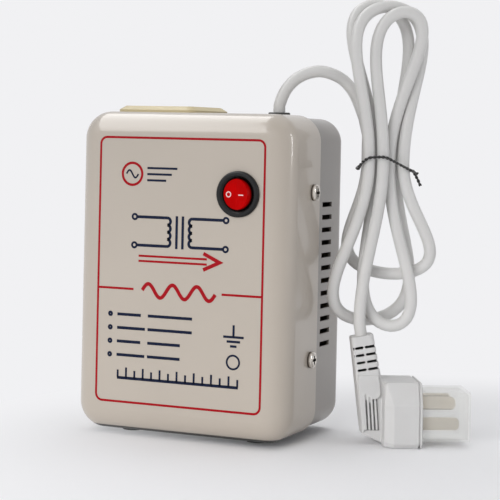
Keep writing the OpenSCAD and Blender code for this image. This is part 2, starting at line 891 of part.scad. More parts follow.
// Stack of E laminations, legs to the front
module core_e_stack() {
    u = lam_unit_w;
    color([0.3, 0.31, 0.33])
        in_case()
            translate([-stack_t / 2, leg_tip_y, core_z])
                rotate([90, 0, 90])
                    linear_extrude(stack_t)
                        difference() {
                            translate([0, -core_h / 2])
                                square([leg_l + u, core_h]);
                            for (side = [0, 1])
                                mirror([0, side, 0])
                                    translate([-over, u])
                                        square([leg_l + over, u]);
                        }
}

// Stack of I laminations that closes the E's
module core_i_stack() {
    color([0.34, 0.35, 0.37])
        in_case()
            translate([-stack_t / 2, core_i_y, core_z - core_h / 2])
                cube([stack_t, lam_unit_w, core_h]);
}

// Steel strap over the core, with two ears on the rear wall
module core_frame() {
    out = core_h / 2 + frame_t;
    color([0.72, 0.72, 0.7])
        in_case()
            difference() {
                translate([-frame_w / 2, 0, core_z])
                    rotate([90, 0, 90])
                        linear_extrude(frame_w)
                            difference() {
                                union() {
                                    translate([core_i_y - frame_t, -out])
                                        square([back_y - core_i_y + frame_t, 2 * out]);
                                    translate([back_y - frame_t, -out - ear_l])
                                        square([frame_t, 2 * (out + ear_l)]);
                                }
                                translate([core_i_y, -core_h / 2])
                                    square([back_y - core_i_y + over, core_h]);
                            }
                at_ear_holes()
                    translate([0, 0, -sheet_t - frame_t - over])
                        cylinder(r = screw_d / 2 + screw_clear, h = frame_t + over + sheet_t);
            }
}

// Four screws through the rear wall and the frame's ears
module frame_screws() {
    color([0.78, 0.77, 0.74])
        in_case()
            at_ear_holes()
                pan_screw(screw_l);
}

// Nuts of those screws, inside the case
module frame_nuts() {
    color([0.7, 0.69, 0.66])
        in_case()
            at_ear_holes()
                translate([0, 0, -sheet_t - frame_t - nut_h])
                    hex_nut();
}

// Hex nut with its bore, from z = 0 up
module hex_nut() {
    difference() {
        cylinder(d = nut_flats / cos(30), h = nut_h, $fn = 6);
        translate([0, 0, -over])
            cylinder(r = screw_d / 2 + pin_clear, h = nut_h + 2 * over);
    }
}

// Two-section bobbin on the centre leg
module bobbin() {
    hole_z = 2 * lam_unit_w + 2 * fit_gap;
    hole_x = stack_t + 2 * fit_gap;
    color([0.9, 0.89, 0.84])
        in_case()
            translate([0, leg_tip_y + fit_gap, core_z])
                rotate([-90, 0, 0])
                    difference() {
                        union() {
                            for (i = [0 : 2])
                                translate([-flange_x / 2, -flange_z / 2, i * (section_l + bobbin_t)])
                                    cube([flange_x, flange_z, bobbin_t]);
                            translate([-hole_x / 2 - bobbin_t, -hole_z / 2 - bobbin_t, 0])
                                cube([hole_x + 2 * bobbin_t, hole_z + 2 * bobbin_t, bobbin_l]);
                        }
                        translate([-hole_x / 2, -hole_z / 2, -over])
                            cube([hole_x, hole_z, bobbin_l + 2 * over]);
                    }
}

// Ring round the bobbin, from one build-up to another, in the given section
module coil(section, inner, outer) {
    base_x = stack_t + 2 * fit_gap + 2 * bobbin_t;
    base_z = 2 * lam_unit_w + 2 * fit_gap + 2 * bobbin_t;
    in_case()
        translate([0, leg_tip_y + fit_gap + bobbin_t + section * (section_l + bobbin_t), core_z])
            rotate([-90, 0, 0])
                linear_extrude(section_l)
                    difference() {
                        round_square(base_x + 2 * outer, base_z + 2 * outer, winding_r);
                        if (inner > 0)
                            round_square(base_x + 2 * inner, base_z + 2 * inner, winding_r);
                        if (inner == 0)
                            square([base_x, base_z], center = true);
                    }
}

// Primary winding, in the front section
module primary_winding() {
    color([0.72, 0.38, 0.18])
        coil(0, 0, winding_t);
}

// Secondary winding, in the rear section
module secondary_winding() {
    color([0.7, 0.36, 0.17])
        coil(1, 0, winding_t);
}

// Film wrapped over both windings
module winding_wrap() {
    color([0.88, 0.72, 0.2])
        for (section = [0, 1])
            coil(section, winding_t, winding_t + wrap_t);
}

// Tip of the solder tag on the given side and row, where a wire meets it
function tag_tip(side, row) =
    [side * tag_x, tag_root_y - tag_l, core_z + (row - (tag_rows - 1) / 2) * tag_pitch];

// Solder tags that stand forward from the bobbin's front flange, beside the core
module winding_tags() {
    color([0.82, 0.8, 0.74])
        in_case()
            for (side = [-1, 1], row = [0 : tag_rows - 1])
                translate(tag_tip(side, row) - [tag_w / 2, 0, tag_t / 2])
                    cube([tag_w, tag_l, tag_t]);
}

// Thermal cut-out on the side of the primary winding
module thermal_cutout() {
    color([0.15, 0.15, 0.16])
        in_case()
            translate(cutout_place - cutout_size / 2)
                cube(cutout_size);
}

// Welded stud on the rear wall
module earth_stud() {
    color([0.76, 0.74, 0.7])
        in_case()
            translate([earth_x, back_y - earth_stud_l, earth_z])
                y_rod(screw_d, earth_stud_l);
}

// Nut on the earth stud
module earth_nut() {
    color([0.76, 0.74, 0.7])
        in_case()
            translate([earth_x, back_y - lug_t, earth_z])
                rotate([90, 0, 0])
                    hex_nut();
}

// Ring lug between the nut and the wall
module earth_lug() {
    color([0.82, 0.8, 0.74])
        in_case()
            translate([earth_x, back_y - lug_t, earth_z])
                rotate([-90, 0, 0])
                    difference() {
                        union() {
                            cylinder(d = lug_d, h = lug_t);
                            translate([-lug_d - lug_t, -core_wire_d / 2, 0])
                                cube([lug_d + lug_t, core_wire_d, lug_t]);
                        }
                        translate([0, 0, -over])
                            cylinder(r = screw_d / 2 + pin_clear, h = lug_t + 2 * over);
                    }
}

// Points of a smooth curve through the given points, with steps points for each stretch
function smooth_path(p, steps) = [
    for (i = [0 : len(p) - 2], j = [0 : steps - 1]) spline_at(p, i, j / steps),
    p[len(p) - 1]
];

// Point of that curve at share f of stretch i
function spline_at(p, i, f) =
    let (a = p[max(i - 1, 0)], b = p[i], c = p[i + 1], d = p[min(i + 2, len(p) - 1)])
    b + (c - a) * f / 2 + (2 * a - 5 * b + 4 * c - d) * f * f / 2 + (3 * b - a - 3 * c + d) * f * f * f / 2;

// Unit vector
function unit(v) = v / norm(v);

// Direction of a path at its point i
function path_dir(p, i) = unit(p[min(i + 1, len(p) - 1)] - p[max(i - 1, 0)]);

// Part of v that is square to direction d, as a unit vector
function square_to(v, d) = unit(v - d * (v * d));

// Side vectors carried along a path, so that the tube doesn't twist
function carried(p, i, side) = i == len(p) ? [] :
    let (s = square_to(side, path_dir(p, i)))
    concat([s], carried(p, i + 1, s));

// Tube of diameter d along a path, with flat ends; side is any vector not along the first stretch
module tube_along(p, d, sides, side) {
    s = carried(p, 0, side);
    rings = [
        for (i = [0 : len(p) - 1], k = [0 : sides - 1])
            let (t = path_dir(p, i), b = cross(t, s[i]), a = 360 * k / sides)
            p[i] + d / 2 * (s[i] * cos(a) + b * sin(a))
    ];
    n = len(p);
    walls = [
        for (i = [0 : n - 2], k = [0 : sides - 1])
            let (a = i * sides + k, b = i * sides + (k + 1) % sides)
            each [[a, a + sides, b], [b, a + sides, b + sides]]
    ];
    caps = [
        for (k = [1 : sides - 2])
            each [[0, k, k + 1], [(n - 1) * sides, (n - 1) * sides + k + 1, (n - 1) * sides + k]]
    ];
    polyhedron(rings, concat(walls, caps));
}

// Insulated wire from a to b along a route in shares of the case. It leaves a along out_a,
// reaches b along in_b, and stops just short of what it joins.
module wire(a, out_a, route_shares, in_b, b) {
    route = [for (p = route_shares) [p[0] * case_w, p[1] * case_d, p[2] * case_h]];
    start = a + unit(out_a) * move_gap;
    end = b - unit(in_b) * move_gap;
    places = concat([start, start + out_a * core_wire_d], route, [end - in_b * core_wire_d, end]);
    in_case()
        tube_along(smooth_path(places, wire_steps), core_wire_d, wire_sides, [0.6, 0.5, 0.62]);
}

// Place under the tag of outlet contact i
function outlet_tag(i) = [
    outlet_x + contact_places[i][0], outlet_y + contact_places[i][1], case_h - outlet_depth - outlet_tag_l
];

// Live wires, from the cord to the switch and from the switch to the primary winding
module wires_live() {
    color([0.42, 0.24, 0.13]) {
        wire(cord_end + [core_spread / 2, -core_spread, 0], down, live_in_route_shares, forward,
            switch_tab + [tab_shift, 0, 0]);
        wire(switch_tab, rearward, live_out_route_shares, rearward, tag_tip(1, 2));
    }
}

// Neutral wires, from the cord to the thermal cut-out and from there to the primary winding
module wires_neutral() {
    color([0.16, 0.35, 0.66]) {
        wire(cord_end - [core_spread, 0, 0], down, neutral_in_route_shares, down,
            cutout_place + [0, 0, cutout_size[2] / 2]);
        wire(cutout_place - [0, 0, cutout_size[2] / 2], down, neutral_out_route_shares, rearward,
            tag_tip(1, 0));
    }
}

// Two wires from the secondary winding to the outlet
module wires_output() {
    color([0.85, 0.85, 0.85])
        for (i = [0, 1])
            wire(tag_tip(-1, i + 1), forward, output_route_shares[i], -down, outlet_tag(i));
}

// Earth wires, from the cord to the stud and from the outlet to the stud
module wires_earth() {
    beside = [0, 0, core_wire_d * 3 / 4];
    color([0.45, 0.62, 0.2]) {
        wire(cord_end + [core_spread / 2, core_spread, 0], down, earth_in_route_shares, [2, 0, 0],
            lug_end + beside);
        wire(outlet_tag(2), down, earth_out_route_shares, [2, 0, 0], lug_end - beside);
    }
}

// Rubber grommet in the rear cover's top; the front cover's notch goes round its flange
module cord_grommet() {
    bore = cord_d / 2 + pin_clear;
    wall_top = shell_top_z;
    wall_low = shell_top_z - sheet_t;
    edge = gland_h / 3;
    color([0.1, 0.1, 0.1])
        in_case()
            translate([gland_x, gland_y, 0])
                rotate_extrude()
                    polygon([
                        [bore, wall_low - gland_lower_h], [gland_lower_d / 2, wall_low - gland_lower_h],
                        [gland_lower_d / 2, wall_low], [gland_neck_d / 2, wall_low],
                        [gland_neck_d / 2, wall_top], [gland_d / 2, wall_top],
                        [gland_d / 2, gland_top_z - edge], [gland_d / 2 - edge, gland_top_z],
                        [bore, gland_top_z]
                    ]);
}

// Split collar that grips the cord below the grommet
module cord_clamp() {
    top = shell_top_z - sheet_t - gland_lower_h;
    color([0.15, 0.15, 0.15])
        in_case()
            translate([gland_x, gland_y, top - clamp_h])
                difference() {
                    cylinder(d = clamp_d, h = clamp_h);
                    translate([0, 0, -over])
                        cylinder(r = cord_d / 2 + pin_clear, h = clamp_h + 2 * over);
                    translate([-clamp_slot / 2, 0, -over])
                        cube([clamp_slot, clamp_d, clamp_h + 2 * over]);
                }
}

// Sheathed end of the cord inside the case
module cord_inner_end() {
    color([0.8, 0.8, 0.79])
        in_case()
            translate([gland_x, gland_y, gland_top_z - inner_end_l])
                cylinder(d = cord_d, h = inner_end_l);
}

// Cord from the grommet to the start of the hank
function hank_start() = waist_place(0, hank_start_z);
function gland_place() = [gland_x, front_y + gland_y, foot_h + gland_top_z];
function lead_path() = concat(
    [gland_place()], smooth_path(lead_points, 2),
    [hank_start() + [0, 0, cord_d], hank_start()]
);

module cord_lead() {
    color([0.8, 0.8, 0.78])
        tube_along(lead_path(), cord_d, lead_sides, [1, 0, 0]);
}

// Turns a place of the hank's own frame, sideways, depth and height, into the part's
function hank_place(side, depth, z) = [
    hank_x + side * cos(hank_turn) - depth * sin(hank_turn),
    front_y + hank_y + side * sin(hank_turn) + depth * cos(hank_turn),
    z
];

// Place of strand i at the waist
function waist_place(i, z) =
    hank_place(strand_shares[i][0] * strand_pitch, strand_shares[i][1] * strand_pitch, z);

// Point of lobe i at share f of its way
function lobe_point(i, f) =
    let (
        row = lobes[i],
        a = strand_shares[i] * strand_pitch,
        b = strand_shares[i + 1] * strand_pitch,
        mix = pow(sin(90 * f), 2),
        swell = pow(sin(180 * f), 2),
        leg = sin(360 * f) * sin(180 * f) / lobe_peak_share
    )
    hank_place(
        a[0] + (b[0] - a[0]) * mix + row[3] * swell + row[1] * row[4] * leg,
        a[1] + (b[1] - a[1]) * mix + row[5] * swell + row[6] * leg,
        waist_z + row[0] * row[2] * sin(180 * f)
    );

// Run from the last strand down into the plug
function tail_end() = relief_entry();
function tail_point(f) =
    let (
        a = waist_place(len(lobes), waist_z),
        b = tail_end() + cord_d * relief_dir(),
        mix = pow(sin(90 * f), 2)
    )
    [a[0] + (b[0] - a[0]) * mix, a[1] + (b[1] - a[1]) * mix, a[2] + (b[2] - a[2]) * f];

function hank_path(fine = 1) = concat(
    [hank_start(), hank_start() - [0, 0, hank_start_z - waist_z - waist_straight]],
    [for (i = [0 : len(lobes) - 1], k = [0 : fine * lobe_rings - 1]) lobe_point(i, k / (fine * lobe_rings))],
    [for (k = [0 : fine * tail_rings]) tail_point(k / (fine * tail_rings))],
    [tail_end()]
);

// Loops of the tied hank and the run into the plug, as one unbroken tube
module cord_hank() {
    color([0.8, 0.8, 0.78])
        tube_along(hank_path(), cord_d, hank_sides, [1, 0, 0]);
}

// Length of a path, and the least gap of a cord to itself between points more than gap_skip apart
function path_length(p) = let (ones = [for (i = [1 : len(p) - 1]) 1])
    ones * [for (i = [1 : len(p) - 1]) norm(p[i] - p[i - 1])];
function whole_cord() = concat(lead_path(), hank_path(fine_steps));
function self_gap(p) =
    min([for (i = [0 : len(p) - 1 - gap_skip], j = [i + gap_skip : len(p) - 1]) norm(p[i] - p[j])]) - cord_d;

// Twist tie round the waist, with its two ends twisted together at the right
function far_strand(a) =
    let (reach = [for (s = strand_shares) s[0] * cos(a) + s[1] * sin(a)])
    [for (i = [0 : len(reach) - 1]) if (reach[i] == max(reach)) strand_shares[i] * strand_pitch][0];
function tie_point(a, extra) =
    let (
        s = far_strand(a),
        out = cord_d / 2 + tie_d / 2 + tie_gap + extra,
        side = s[0] + out * cos(a),
        depth = s[1] + out * sin(a),
        drop = min(tie_slope_share * (depth + out), tie_fall) + side * side / tie_sag_r
    )
    hank_place(side, depth, waist_z + tie_lift - drop);

module cord_tie() {
    knot = tie_point(tie_knot_angle, tie_d * 2);
    ring = [for (k = [1 : tie_rings - 1]) tie_point(tie_knot_angle + 360 * k / tie_rings, 0)];
    color([0.1, 0.1, 0.1])
        tube_along(concat([knot], ring, [knot + [0, 0, -tie_d * 2], knot + [tie_d, 0, -tie_tail_l]]),
            tie_d, hank_sides, [0, 0, 1]);
}

// Puts its children into the plug's frame
module in_plug() {
    translate([plug_x, front_y + plug_y, 0])
        rotate([0, 0, plug_turn])
            children();
}

// Direction of the strain relief, upwards, and the middle of its top, where the cord goes in
function relief_dir() =
    [-sin(relief_tilt) * cos(plug_turn), -sin(relief_tilt) * sin(plug_turn), cos(relief_tilt)];
function relief_entry() = relief_l * relief_dir() + [
    plug_x + relief_low_x * cos(plug_turn),
    front_y + plug_y + relief_low_x * sin(plug_turn),
    relief_low_z
];

// Length l of the plug's head from place x along the pins, scaled by share about the outline's middle
module plug_slice(x, l, share) {
    translate([x, 0, plug_h / 2])
        rotate([90, 0, 90])
            linear_extrude(l)
                scale(share)
                    translate([0, -plug_h / 2])
                        polygon([for (p = plug_outline_share) [p[0] * plug_w, p[1] * plug_h]]);
}

// Moulded angled plug: head with a face plate, ribbed grip and slotted strain relief
module plug_body() {
    color([0.8, 0.8, 0.79])
        in_plug() {
            plug_head();
            difference() {
                grip_slab(grip_w - 2 * grip_raise);
                grip_ribs(-grip_groove, grip_rib_pitch - grip_rib_w, grip_rib_pitch / 2);
            }
            grip_tongue();
            grip_ribs(grip_raise, grip_rib_w, 0);
            translate([relief_low_x, 0, relief_low_z])
                rotate([0, -relief_tilt, 0])
                    plug_relief();
        }
}

// Head: widest in its middle, narrower to the rear, with a groove round its face plate
module plug_head() {
    body_front = -plug_groove_x - plug_groove_l;
    hull() {
        plug_slice(-plug_l * plug_full_share, plug_l * plug_full_share + body_front, 1);
        plug_slice(-plug_l, plug_round, plug_rear_shares);
    }
    plug_slice(body_front - plug_round, plug_round + plug_groove_l + plug_groove_x / 2, plug_groove_share);
    hull() {
        plug_slice(-plug_groove_x, plug_round, 1);
        plug_slice(-plug_round, plug_round, plug_front_share);
    }
}

// Side outline of the grip, from the head's rear up to the strain relief
module grip_outline() {
    inside_x = -plug_l + plug_round;
    polygon([
        [grip_rear_x, relief_low_z], [grip_rear_x + grip_waist_in, grip_waist_z],
        [grip_rear_x + grip_foot_in, grip_foot_z], [inside_x, plug_round / 2],
        [inside_x, plug_h * plug_rear_shares[1] - plug_round], [grip_rear_x + relief_low[0], relief_low_z]
    ]);
}

// Grip slab of width w with chamfered edges
module grip_slab(w) {
    rotate([90, 0, 0])
        hull() {
            linear_extrude(w - 2 * plug_round, center = true)
                grip_outline();
            linear_extrude(w, center = true)
                offset(delta = -plug_round)
                    grip_outline();
        }
}

// Smooth tongue that runs from the strain relief down over both sides of the grip
module grip_tongue() {
    rotate([90, 0, 0])
        linear_extrude(grip_w, center = true)
            hull() {
                translate([grip_rear_x + plug_round, relief_low_z - tongue_r])
                    square([relief_low[0] - 2 * plug_round, tongue_r]);
                translate([grip_rear_x + plug_round + tongue_r, tongue_rear_z])
                    circle(tongue_r, $fn = small_fn);
                translate([grip_rear_x + relief_low[0] - tongue_r, tongue_front_z])
                    circle(tongue_r, $fn = small_fn);
            }
}

// Upright bars on both sides of the grip, raised or, with a height below zero, sunk
module grip_ribs(height, w, shift) {
    first_x = grip_rear_x + grip_waist_in + grip_rib_w / 2;
    low_y = grip_w / 2 - grip_raise + min(height, -over / 2);
    top_z = tongue_rear_z - tongue_r - grip_rib_gap;
    fall = (tongue_rear_z - tongue_front_z) / (grip_rib_count - 1);
    for (i = [0 : grip_rib_count - 1], side = [0, 1])
        mirror([0, side, 0])
            translate([first_x + i * grip_rib_pitch + shift - w / 2, low_y, grip_rib_low_z])
                cube([w, max(height, 0) + over, top_z - i * fall - grip_rib_low_z]);
}

// Strain relief along z: a tapered neck with rows of slots in both sides, parted by a web
module plug_relief() {
    difference() {
        hull() {
            translate([0, 0, -relief_round])
                relief_slice(relief_low);
            translate([0, 0, relief_l - plug_round])
                relief_slice(relief_top);
        }
        for (row = [0 : relief_rows - 1], side = [0, 1], half = [0, 1])
            mirror([half, 0, 0])
                mirror([0, side, 0])
                    relief_slot(relief_l - relief_lip - row * relief_pitch);
    }
}

// Rounded slice of the strain relief
module relief_slice(size) {
    linear_extrude(plug_round)
        round_square(size[0], size[1], relief_round, $fn = small_fn);
}

// Half of a slot at height z, from the web outwards
module relief_slot(z) {
    half_w = (relief_top[1] + (relief_low[1] - relief_top[1]) * (relief_l - z) / relief_l) / 2;
    translate([relief_web / 2, half_w - relief_slot_depth, z - relief_slot_h])
        cube([relief_low[0], relief_slot_depth + over, relief_slot_h]);
}

// Two inclined flat pins and the longer upright earth pin
module plug_pins() {
    color([0.82, 0.72, 0.45])
        in_plug() {
            for (side = [-1, 1])
                translate([0, side * pin_spacing / 2, pin_row_z])
                    rotate([side * pin_incline, 0, 0])
                        plug_pin(pin_l);
            translate([0, 0, pin_row_z - earth_drop])
                plug_pin(earth_pin_l);
        }
}

// One flat pin with a chamfered tip, standing upright in its section
module plug_pin(l) {
    tip = pin_t;
    rotate([90, 0, 0])
        translate([0, 0, -pin_t / 2])
            linear_extrude(pin_t)
                polygon([[0, -pin_w / 2], [l - tip, -pin_w / 2], [l, -pin_w / 2 + tip],
                    [l, pin_w / 2 - tip], [l - tip, pin_w / 2], [0, pin_w / 2]]);
}

// Clear cap that slips over the pins, with a rim at its mouth
module pin_cap() {
    color([0.9, 0.9, 0.86, 0.4])
        in_plug()
            translate([move_gap, 0, cap_low_z + cap_h / 2])
                rotate([90, 0, 90])
                    difference() {
                        union() {
                            linear_extrude(cap_l)
                                round_square(cap_w, cap_h, cap_round);
                            linear_extrude(cap_rim)
                                round_square(cap_w + cap_rim, cap_h + cap_rim, cap_round);
                        }
                        translate([0, 0, -over])
                            linear_extrude(cap_l - cap_wall + over)
                                round_square(cap_w - 2 * cap_wall, cap_h - 2 * cap_wall,
                                    cap_round - cap_wall);
                    }
}

echo(cord_length = path_length(whole_cord()), least_cord_gap = self_gap(whole_cord()));

front_cover();
rear_cover();
cover_screws();
clinch_nuts();
feet();
outlet_plate();
outlet_insert();
outlet_contacts();
switch_housing();
switch_rocker();
switch_lever();
switch_terminals();
switch_lamp();
core_e_stack();
core_i_stack();
core_frame();
frame_screws();
frame_nuts();
bobbin();
primary_winding();
secondary_winding();
winding_wrap();
winding_tags();
thermal_cutout();
earth_stud();
earth_nut();
earth_lug();
wires_live();
wires_neutral();
wires_output();
wires_earth();
cord_grommet();
cord_clamp();
cord_inner_end();
cord_lead();
cord_hank();
cord_tie();
plug_body();
plug_pins();
pin_cap();
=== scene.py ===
"""Looks of an isolation transformer: a painted steel case, a rocker switch, an outlet and a tied mains lead.

Every length in the classes is in millimetres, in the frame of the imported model, and becomes metres where a
mesh is placed. X runs to the right, Y to the rear and Z up. Angles are in degrees.
"""

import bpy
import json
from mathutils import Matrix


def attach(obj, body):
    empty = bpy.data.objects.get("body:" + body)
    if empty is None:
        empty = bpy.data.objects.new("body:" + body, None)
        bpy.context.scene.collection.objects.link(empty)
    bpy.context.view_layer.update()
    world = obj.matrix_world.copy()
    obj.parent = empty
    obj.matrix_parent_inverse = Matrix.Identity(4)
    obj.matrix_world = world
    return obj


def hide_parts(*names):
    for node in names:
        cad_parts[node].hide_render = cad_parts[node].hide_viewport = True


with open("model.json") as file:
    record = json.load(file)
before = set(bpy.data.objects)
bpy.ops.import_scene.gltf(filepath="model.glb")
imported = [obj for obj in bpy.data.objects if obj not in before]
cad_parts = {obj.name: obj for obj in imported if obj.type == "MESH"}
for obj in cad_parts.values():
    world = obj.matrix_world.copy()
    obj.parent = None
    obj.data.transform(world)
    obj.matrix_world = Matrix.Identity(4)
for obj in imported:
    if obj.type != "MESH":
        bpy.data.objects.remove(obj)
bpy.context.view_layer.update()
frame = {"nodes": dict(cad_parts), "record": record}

import json
import logging
from collections.abc import Iterable, Sequence
from dataclasses import dataclass, field
from enum import Enum
from math import cos, exp, pi, radians, sin

import bmesh
import bpy
from bmesh.types import BMesh, BMVert
from bpy.types import ID, Curve, Material, Mesh, Node, NodeSocket, Object, World
from mathutils import Matrix, Vector
from mathutils.bvhtree import BVHTree

MM = 0.001
FRONT_Y = -39.8081
FOOT_H = 2.0
PLUG_TURN = 28.0
RELIEF_TILT = 9.6
SLOT_PITCH = 3.72
RIB_LOW = 7.5
RIB_LEAN = 0.08
log = logging.getLogger("transformer")
Pair = tuple[float, float]
Triple = tuple[float, float, float]


class Body(Enum):
    """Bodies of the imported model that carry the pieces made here."""

    CASE = "case"
    ROCKER = "rocker"


def seen(*screen: float) -> Triple:
    """Linear colour of a surface that is seen as red, green and blue screen values from 0 to 255."""
    shares = [value / 255 for value in screen]
    return tuple(share / 12.92 if share <= 0.04045 else ((share + 0.055) / 1.055) ** 2.4 for share in shares)


def turned(degrees: float, axis: str) -> Matrix:
    """Turn about one axis."""
    return Matrix.Rotation(radians(degrees), 4, axis)


def unit(degrees: float) -> Vector:
    """Direction in a plane, at an angle to its first axis."""
    angle = radians(degrees)
    return Vector((cos(angle), sin(angle)))


class Field:
    """A number that varies over a surface, with the arithmetic of a plain number."""

    def __init__(self, tree: "Nodes", socket: NodeSocket) -> None:
        """Wraps an output socket of a tree."""
        self.tree = tree
        self.socket = socket

    def _math(self, operation: str, first: object, second: object = 0.0, clamp: bool = False) -> "Field":
        """Result of one Math node on two values, kept from 0 to 1 if it is clamped."""
        settings = {"operation": operation, "use_clamp": clamp}
        return self.tree.field("ShaderNodeMath", settings, {0: first, 1: second})

    def __add__(self, other: object) -> "Field":
        """Sum."""
        return self._math("ADD", self, other)

    __radd__ = __add__

    def __sub__(self, other: object) -> "Field":
        """Difference."""
        return self._math("SUBTRACT", self, other)

    def __rsub__(self, other: object) -> "Field":
        """Difference with the field on the right."""
        return self._math("SUBTRACT", other, self)

    def __mul__(self, other: object) -> "Field":
        """Product."""
        return self._math("MULTIPLY", self, other)

    __rmul__ = __mul__

    def __truediv__(self, other: object) -> "Field":
        """Quotient."""
        return self._math("DIVIDE", self, other)

    def __abs__(self) -> "Field":
        """Size without sign."""
        return self._math("ABSOLUTE", self)

    def highest(self, other: object) -> "Field":
        """The higher of two values."""
        return self._math("MAXIMUM", self, other)

    def sine(self) -> "Field":
        """Sine of the field in radians."""
        return self._math("SINE", self)

    def held(self) -> "Field":
        """The field kept from 0 to 1."""
        return self._math("ADD", self, 0.0, clamp=True)

    def fraction(self) -> "Field":
        """What is left over the whole number below."""
        return self._math("FRACT", self)

    def step(self, low: float, high: float) -> "Field":
        """Smooth step from 0 at low to 1 at high."""
        settings = {"interpolation_type": "SMOOTHSTEP"}
        return self.tree.field("ShaderNodeMapRange", settings, {0: self, 1: low, 2: high})

    def within(self, low: float, high: float, soft: float = 0.06) -> "Field":
        """1 between two values and 0 outside them, with a soft step at either value."""
        return self.step(low - soft, low + soft) * (1 - self.step(high - soft, high + soft))

    def around(self, base: float, swing: float) -> "Field":
        """A base that swings with the field, kept from 0 to 1."""
        return (base + swing * (self - 0.5)).held()


class Nodes:
    """A node tree whose nodes all come from one method."""

    def __init__(self, owner: Material | World) -> None:
        """Starts with an empty tree.

        Args:
            owner: Material or world that has the tree.
        """
        owner.use_nodes = True
        self.nodes = owner.node_tree.nodes
        self.links = owner.node_tree.links
        self.nodes.clear()

    def node(
        self,
        kind: str,
        settings: dict[str, object] | None = None,
        inputs: dict[int | str, object] | None = None,
    ) -> Node:
        """Adds a node: its settings are set first, then the values or links of its sockets.

        Args:
            kind: Blender's name of the node type.
            settings: Properties of the node.
            inputs: Values, fields, sockets or nodes for the node's inputs.

        Returns:
            The new node.
        """
        made = self.nodes.new(kind)
        for name, value in (settings or {}).items():
            setattr(made, name, value)
        for key, value in (inputs or {}).items():
            self.feed(made.inputs[key], value)
        return made

    def feed(self, socket: NodeSocket, value: object) -> None:
        """Links or sets one input.

        Args:
            socket: Input socket.
            value: Field, output socket, node with one output, colour or number.
        """
        if isinstance(value, Field):
            value = value.socket
        elif isinstance(value, Node):
            value = value.outputs[0]
        if isinstance(value, NodeSocket):
            self.links.new(value, socket)
        elif isinstance(value, tuple) and socket.type == "RGBA":
            socket.default_value = (*value, 1.0)
        else:
            socket.default_value = value

    def field(self, kind: str, settings: dict[str, object], inputs: dict[int | str, object]) -> Field:
        """Adds a node and gives its first output as a field."""
        return Field(self, self.node(kind, settings, inputs).outputs[0])


class Shading(Nodes):
    """One material with its principled shader, filled by the finishes."""

    def __init__(self, name: str) -> None:
        """Starts a material with a plain shader.

        Args:
            name: Name of the material.
        """
        self.material = bpy.data.materials.new(name)
        super().__init__(self.material)
        self.out = self.node("ShaderNodeOutputMaterial")
        self.shader = self.node("ShaderNodeBsdfPrincipled")
        self.feed(self.out.inputs["Surface"], self.shader)

    def place(self) -> NodeSocket:
        """Object coordinates, in metres in the part's frame."""
        return self.node("ShaderNodeTexCoord").outputs["Object"]

    def axes(self, origin: Triple = (0.0, 0.0, 0.0), turn: Triple = (0.0, 0.0, 0.0)) -> list[Field]:
        """The three object coordinates in millimetres, in a frame of their own.

        Args:
            origin: Place of that frame in millimetres.
            turn: Its turn about the three axes.

        Returns:
            The coordinates along its axes.
        """
        rotation = [radians(angle) for angle in turn]
        inputs = {"Vector": self.place(), "Location": Vector(origin) * MM, "Rotation": rotation}
        mapping = self.node("ShaderNodeMapping", {"vector_type": "TEXTURE"}, inputs)
        split = self.node("ShaderNodeSeparateXYZ", None, {0: mapping})
        return [Field(self, output) / MM for output in split.outputs]

    def noise(self, size: float, detail: float, stretch: Triple = (1.0, 1.0, 1.0)) -> Field:
        """Cloudy noise from 0 to 1, with blots of a size in millimetres and octaves of finer detail."""
        mapping = self.node("ShaderNodeMapping", None, {"Vector": self.place(), "Scale": stretch})
        inputs = {"Vector": mapping, "Scale": 1 / (size * MM), "Detail": detail}
        return self.field("ShaderNodeTexNoise", {}, inputs)

    def mix(self, share: object, first: object, second: object) -> NodeSocket:
        """Mix of two colours, from the first at a share of 0 to the second at 1."""
        made = self.node("ShaderNodeMix", {"data_type": "RGBA"}, {0: share, 6: first, 7: second})
        return made.outputs[2]

    def shade(self, share: Field, colour: Triple) -> None:
        """Takes the shader's present colour towards another one, all the way at a share of 1."""
        present = self.shader.inputs["Base Color"].links[0].from_socket
        self.set(Base_Color=self.mix(share, present, colour))

    def bump(self, height: Field, depth: float) -> None:
        """Feeds the shader's normal from a height from 0 to 1, which is as deep as given in millimetres."""
        inputs = {"Height": height, "Distance": depth * MM, "Strength": 1.0}
        self.set(Normal=self.node("ShaderNodeBump", None, inputs))

    def set(self, **values: object) -> None:
        """Sets the shader's sockets; an underscore in a name stands for a space."""
        for name, value in values.items():
            self.feed(self.shader.inputs[name.replace("_", " ")], value)


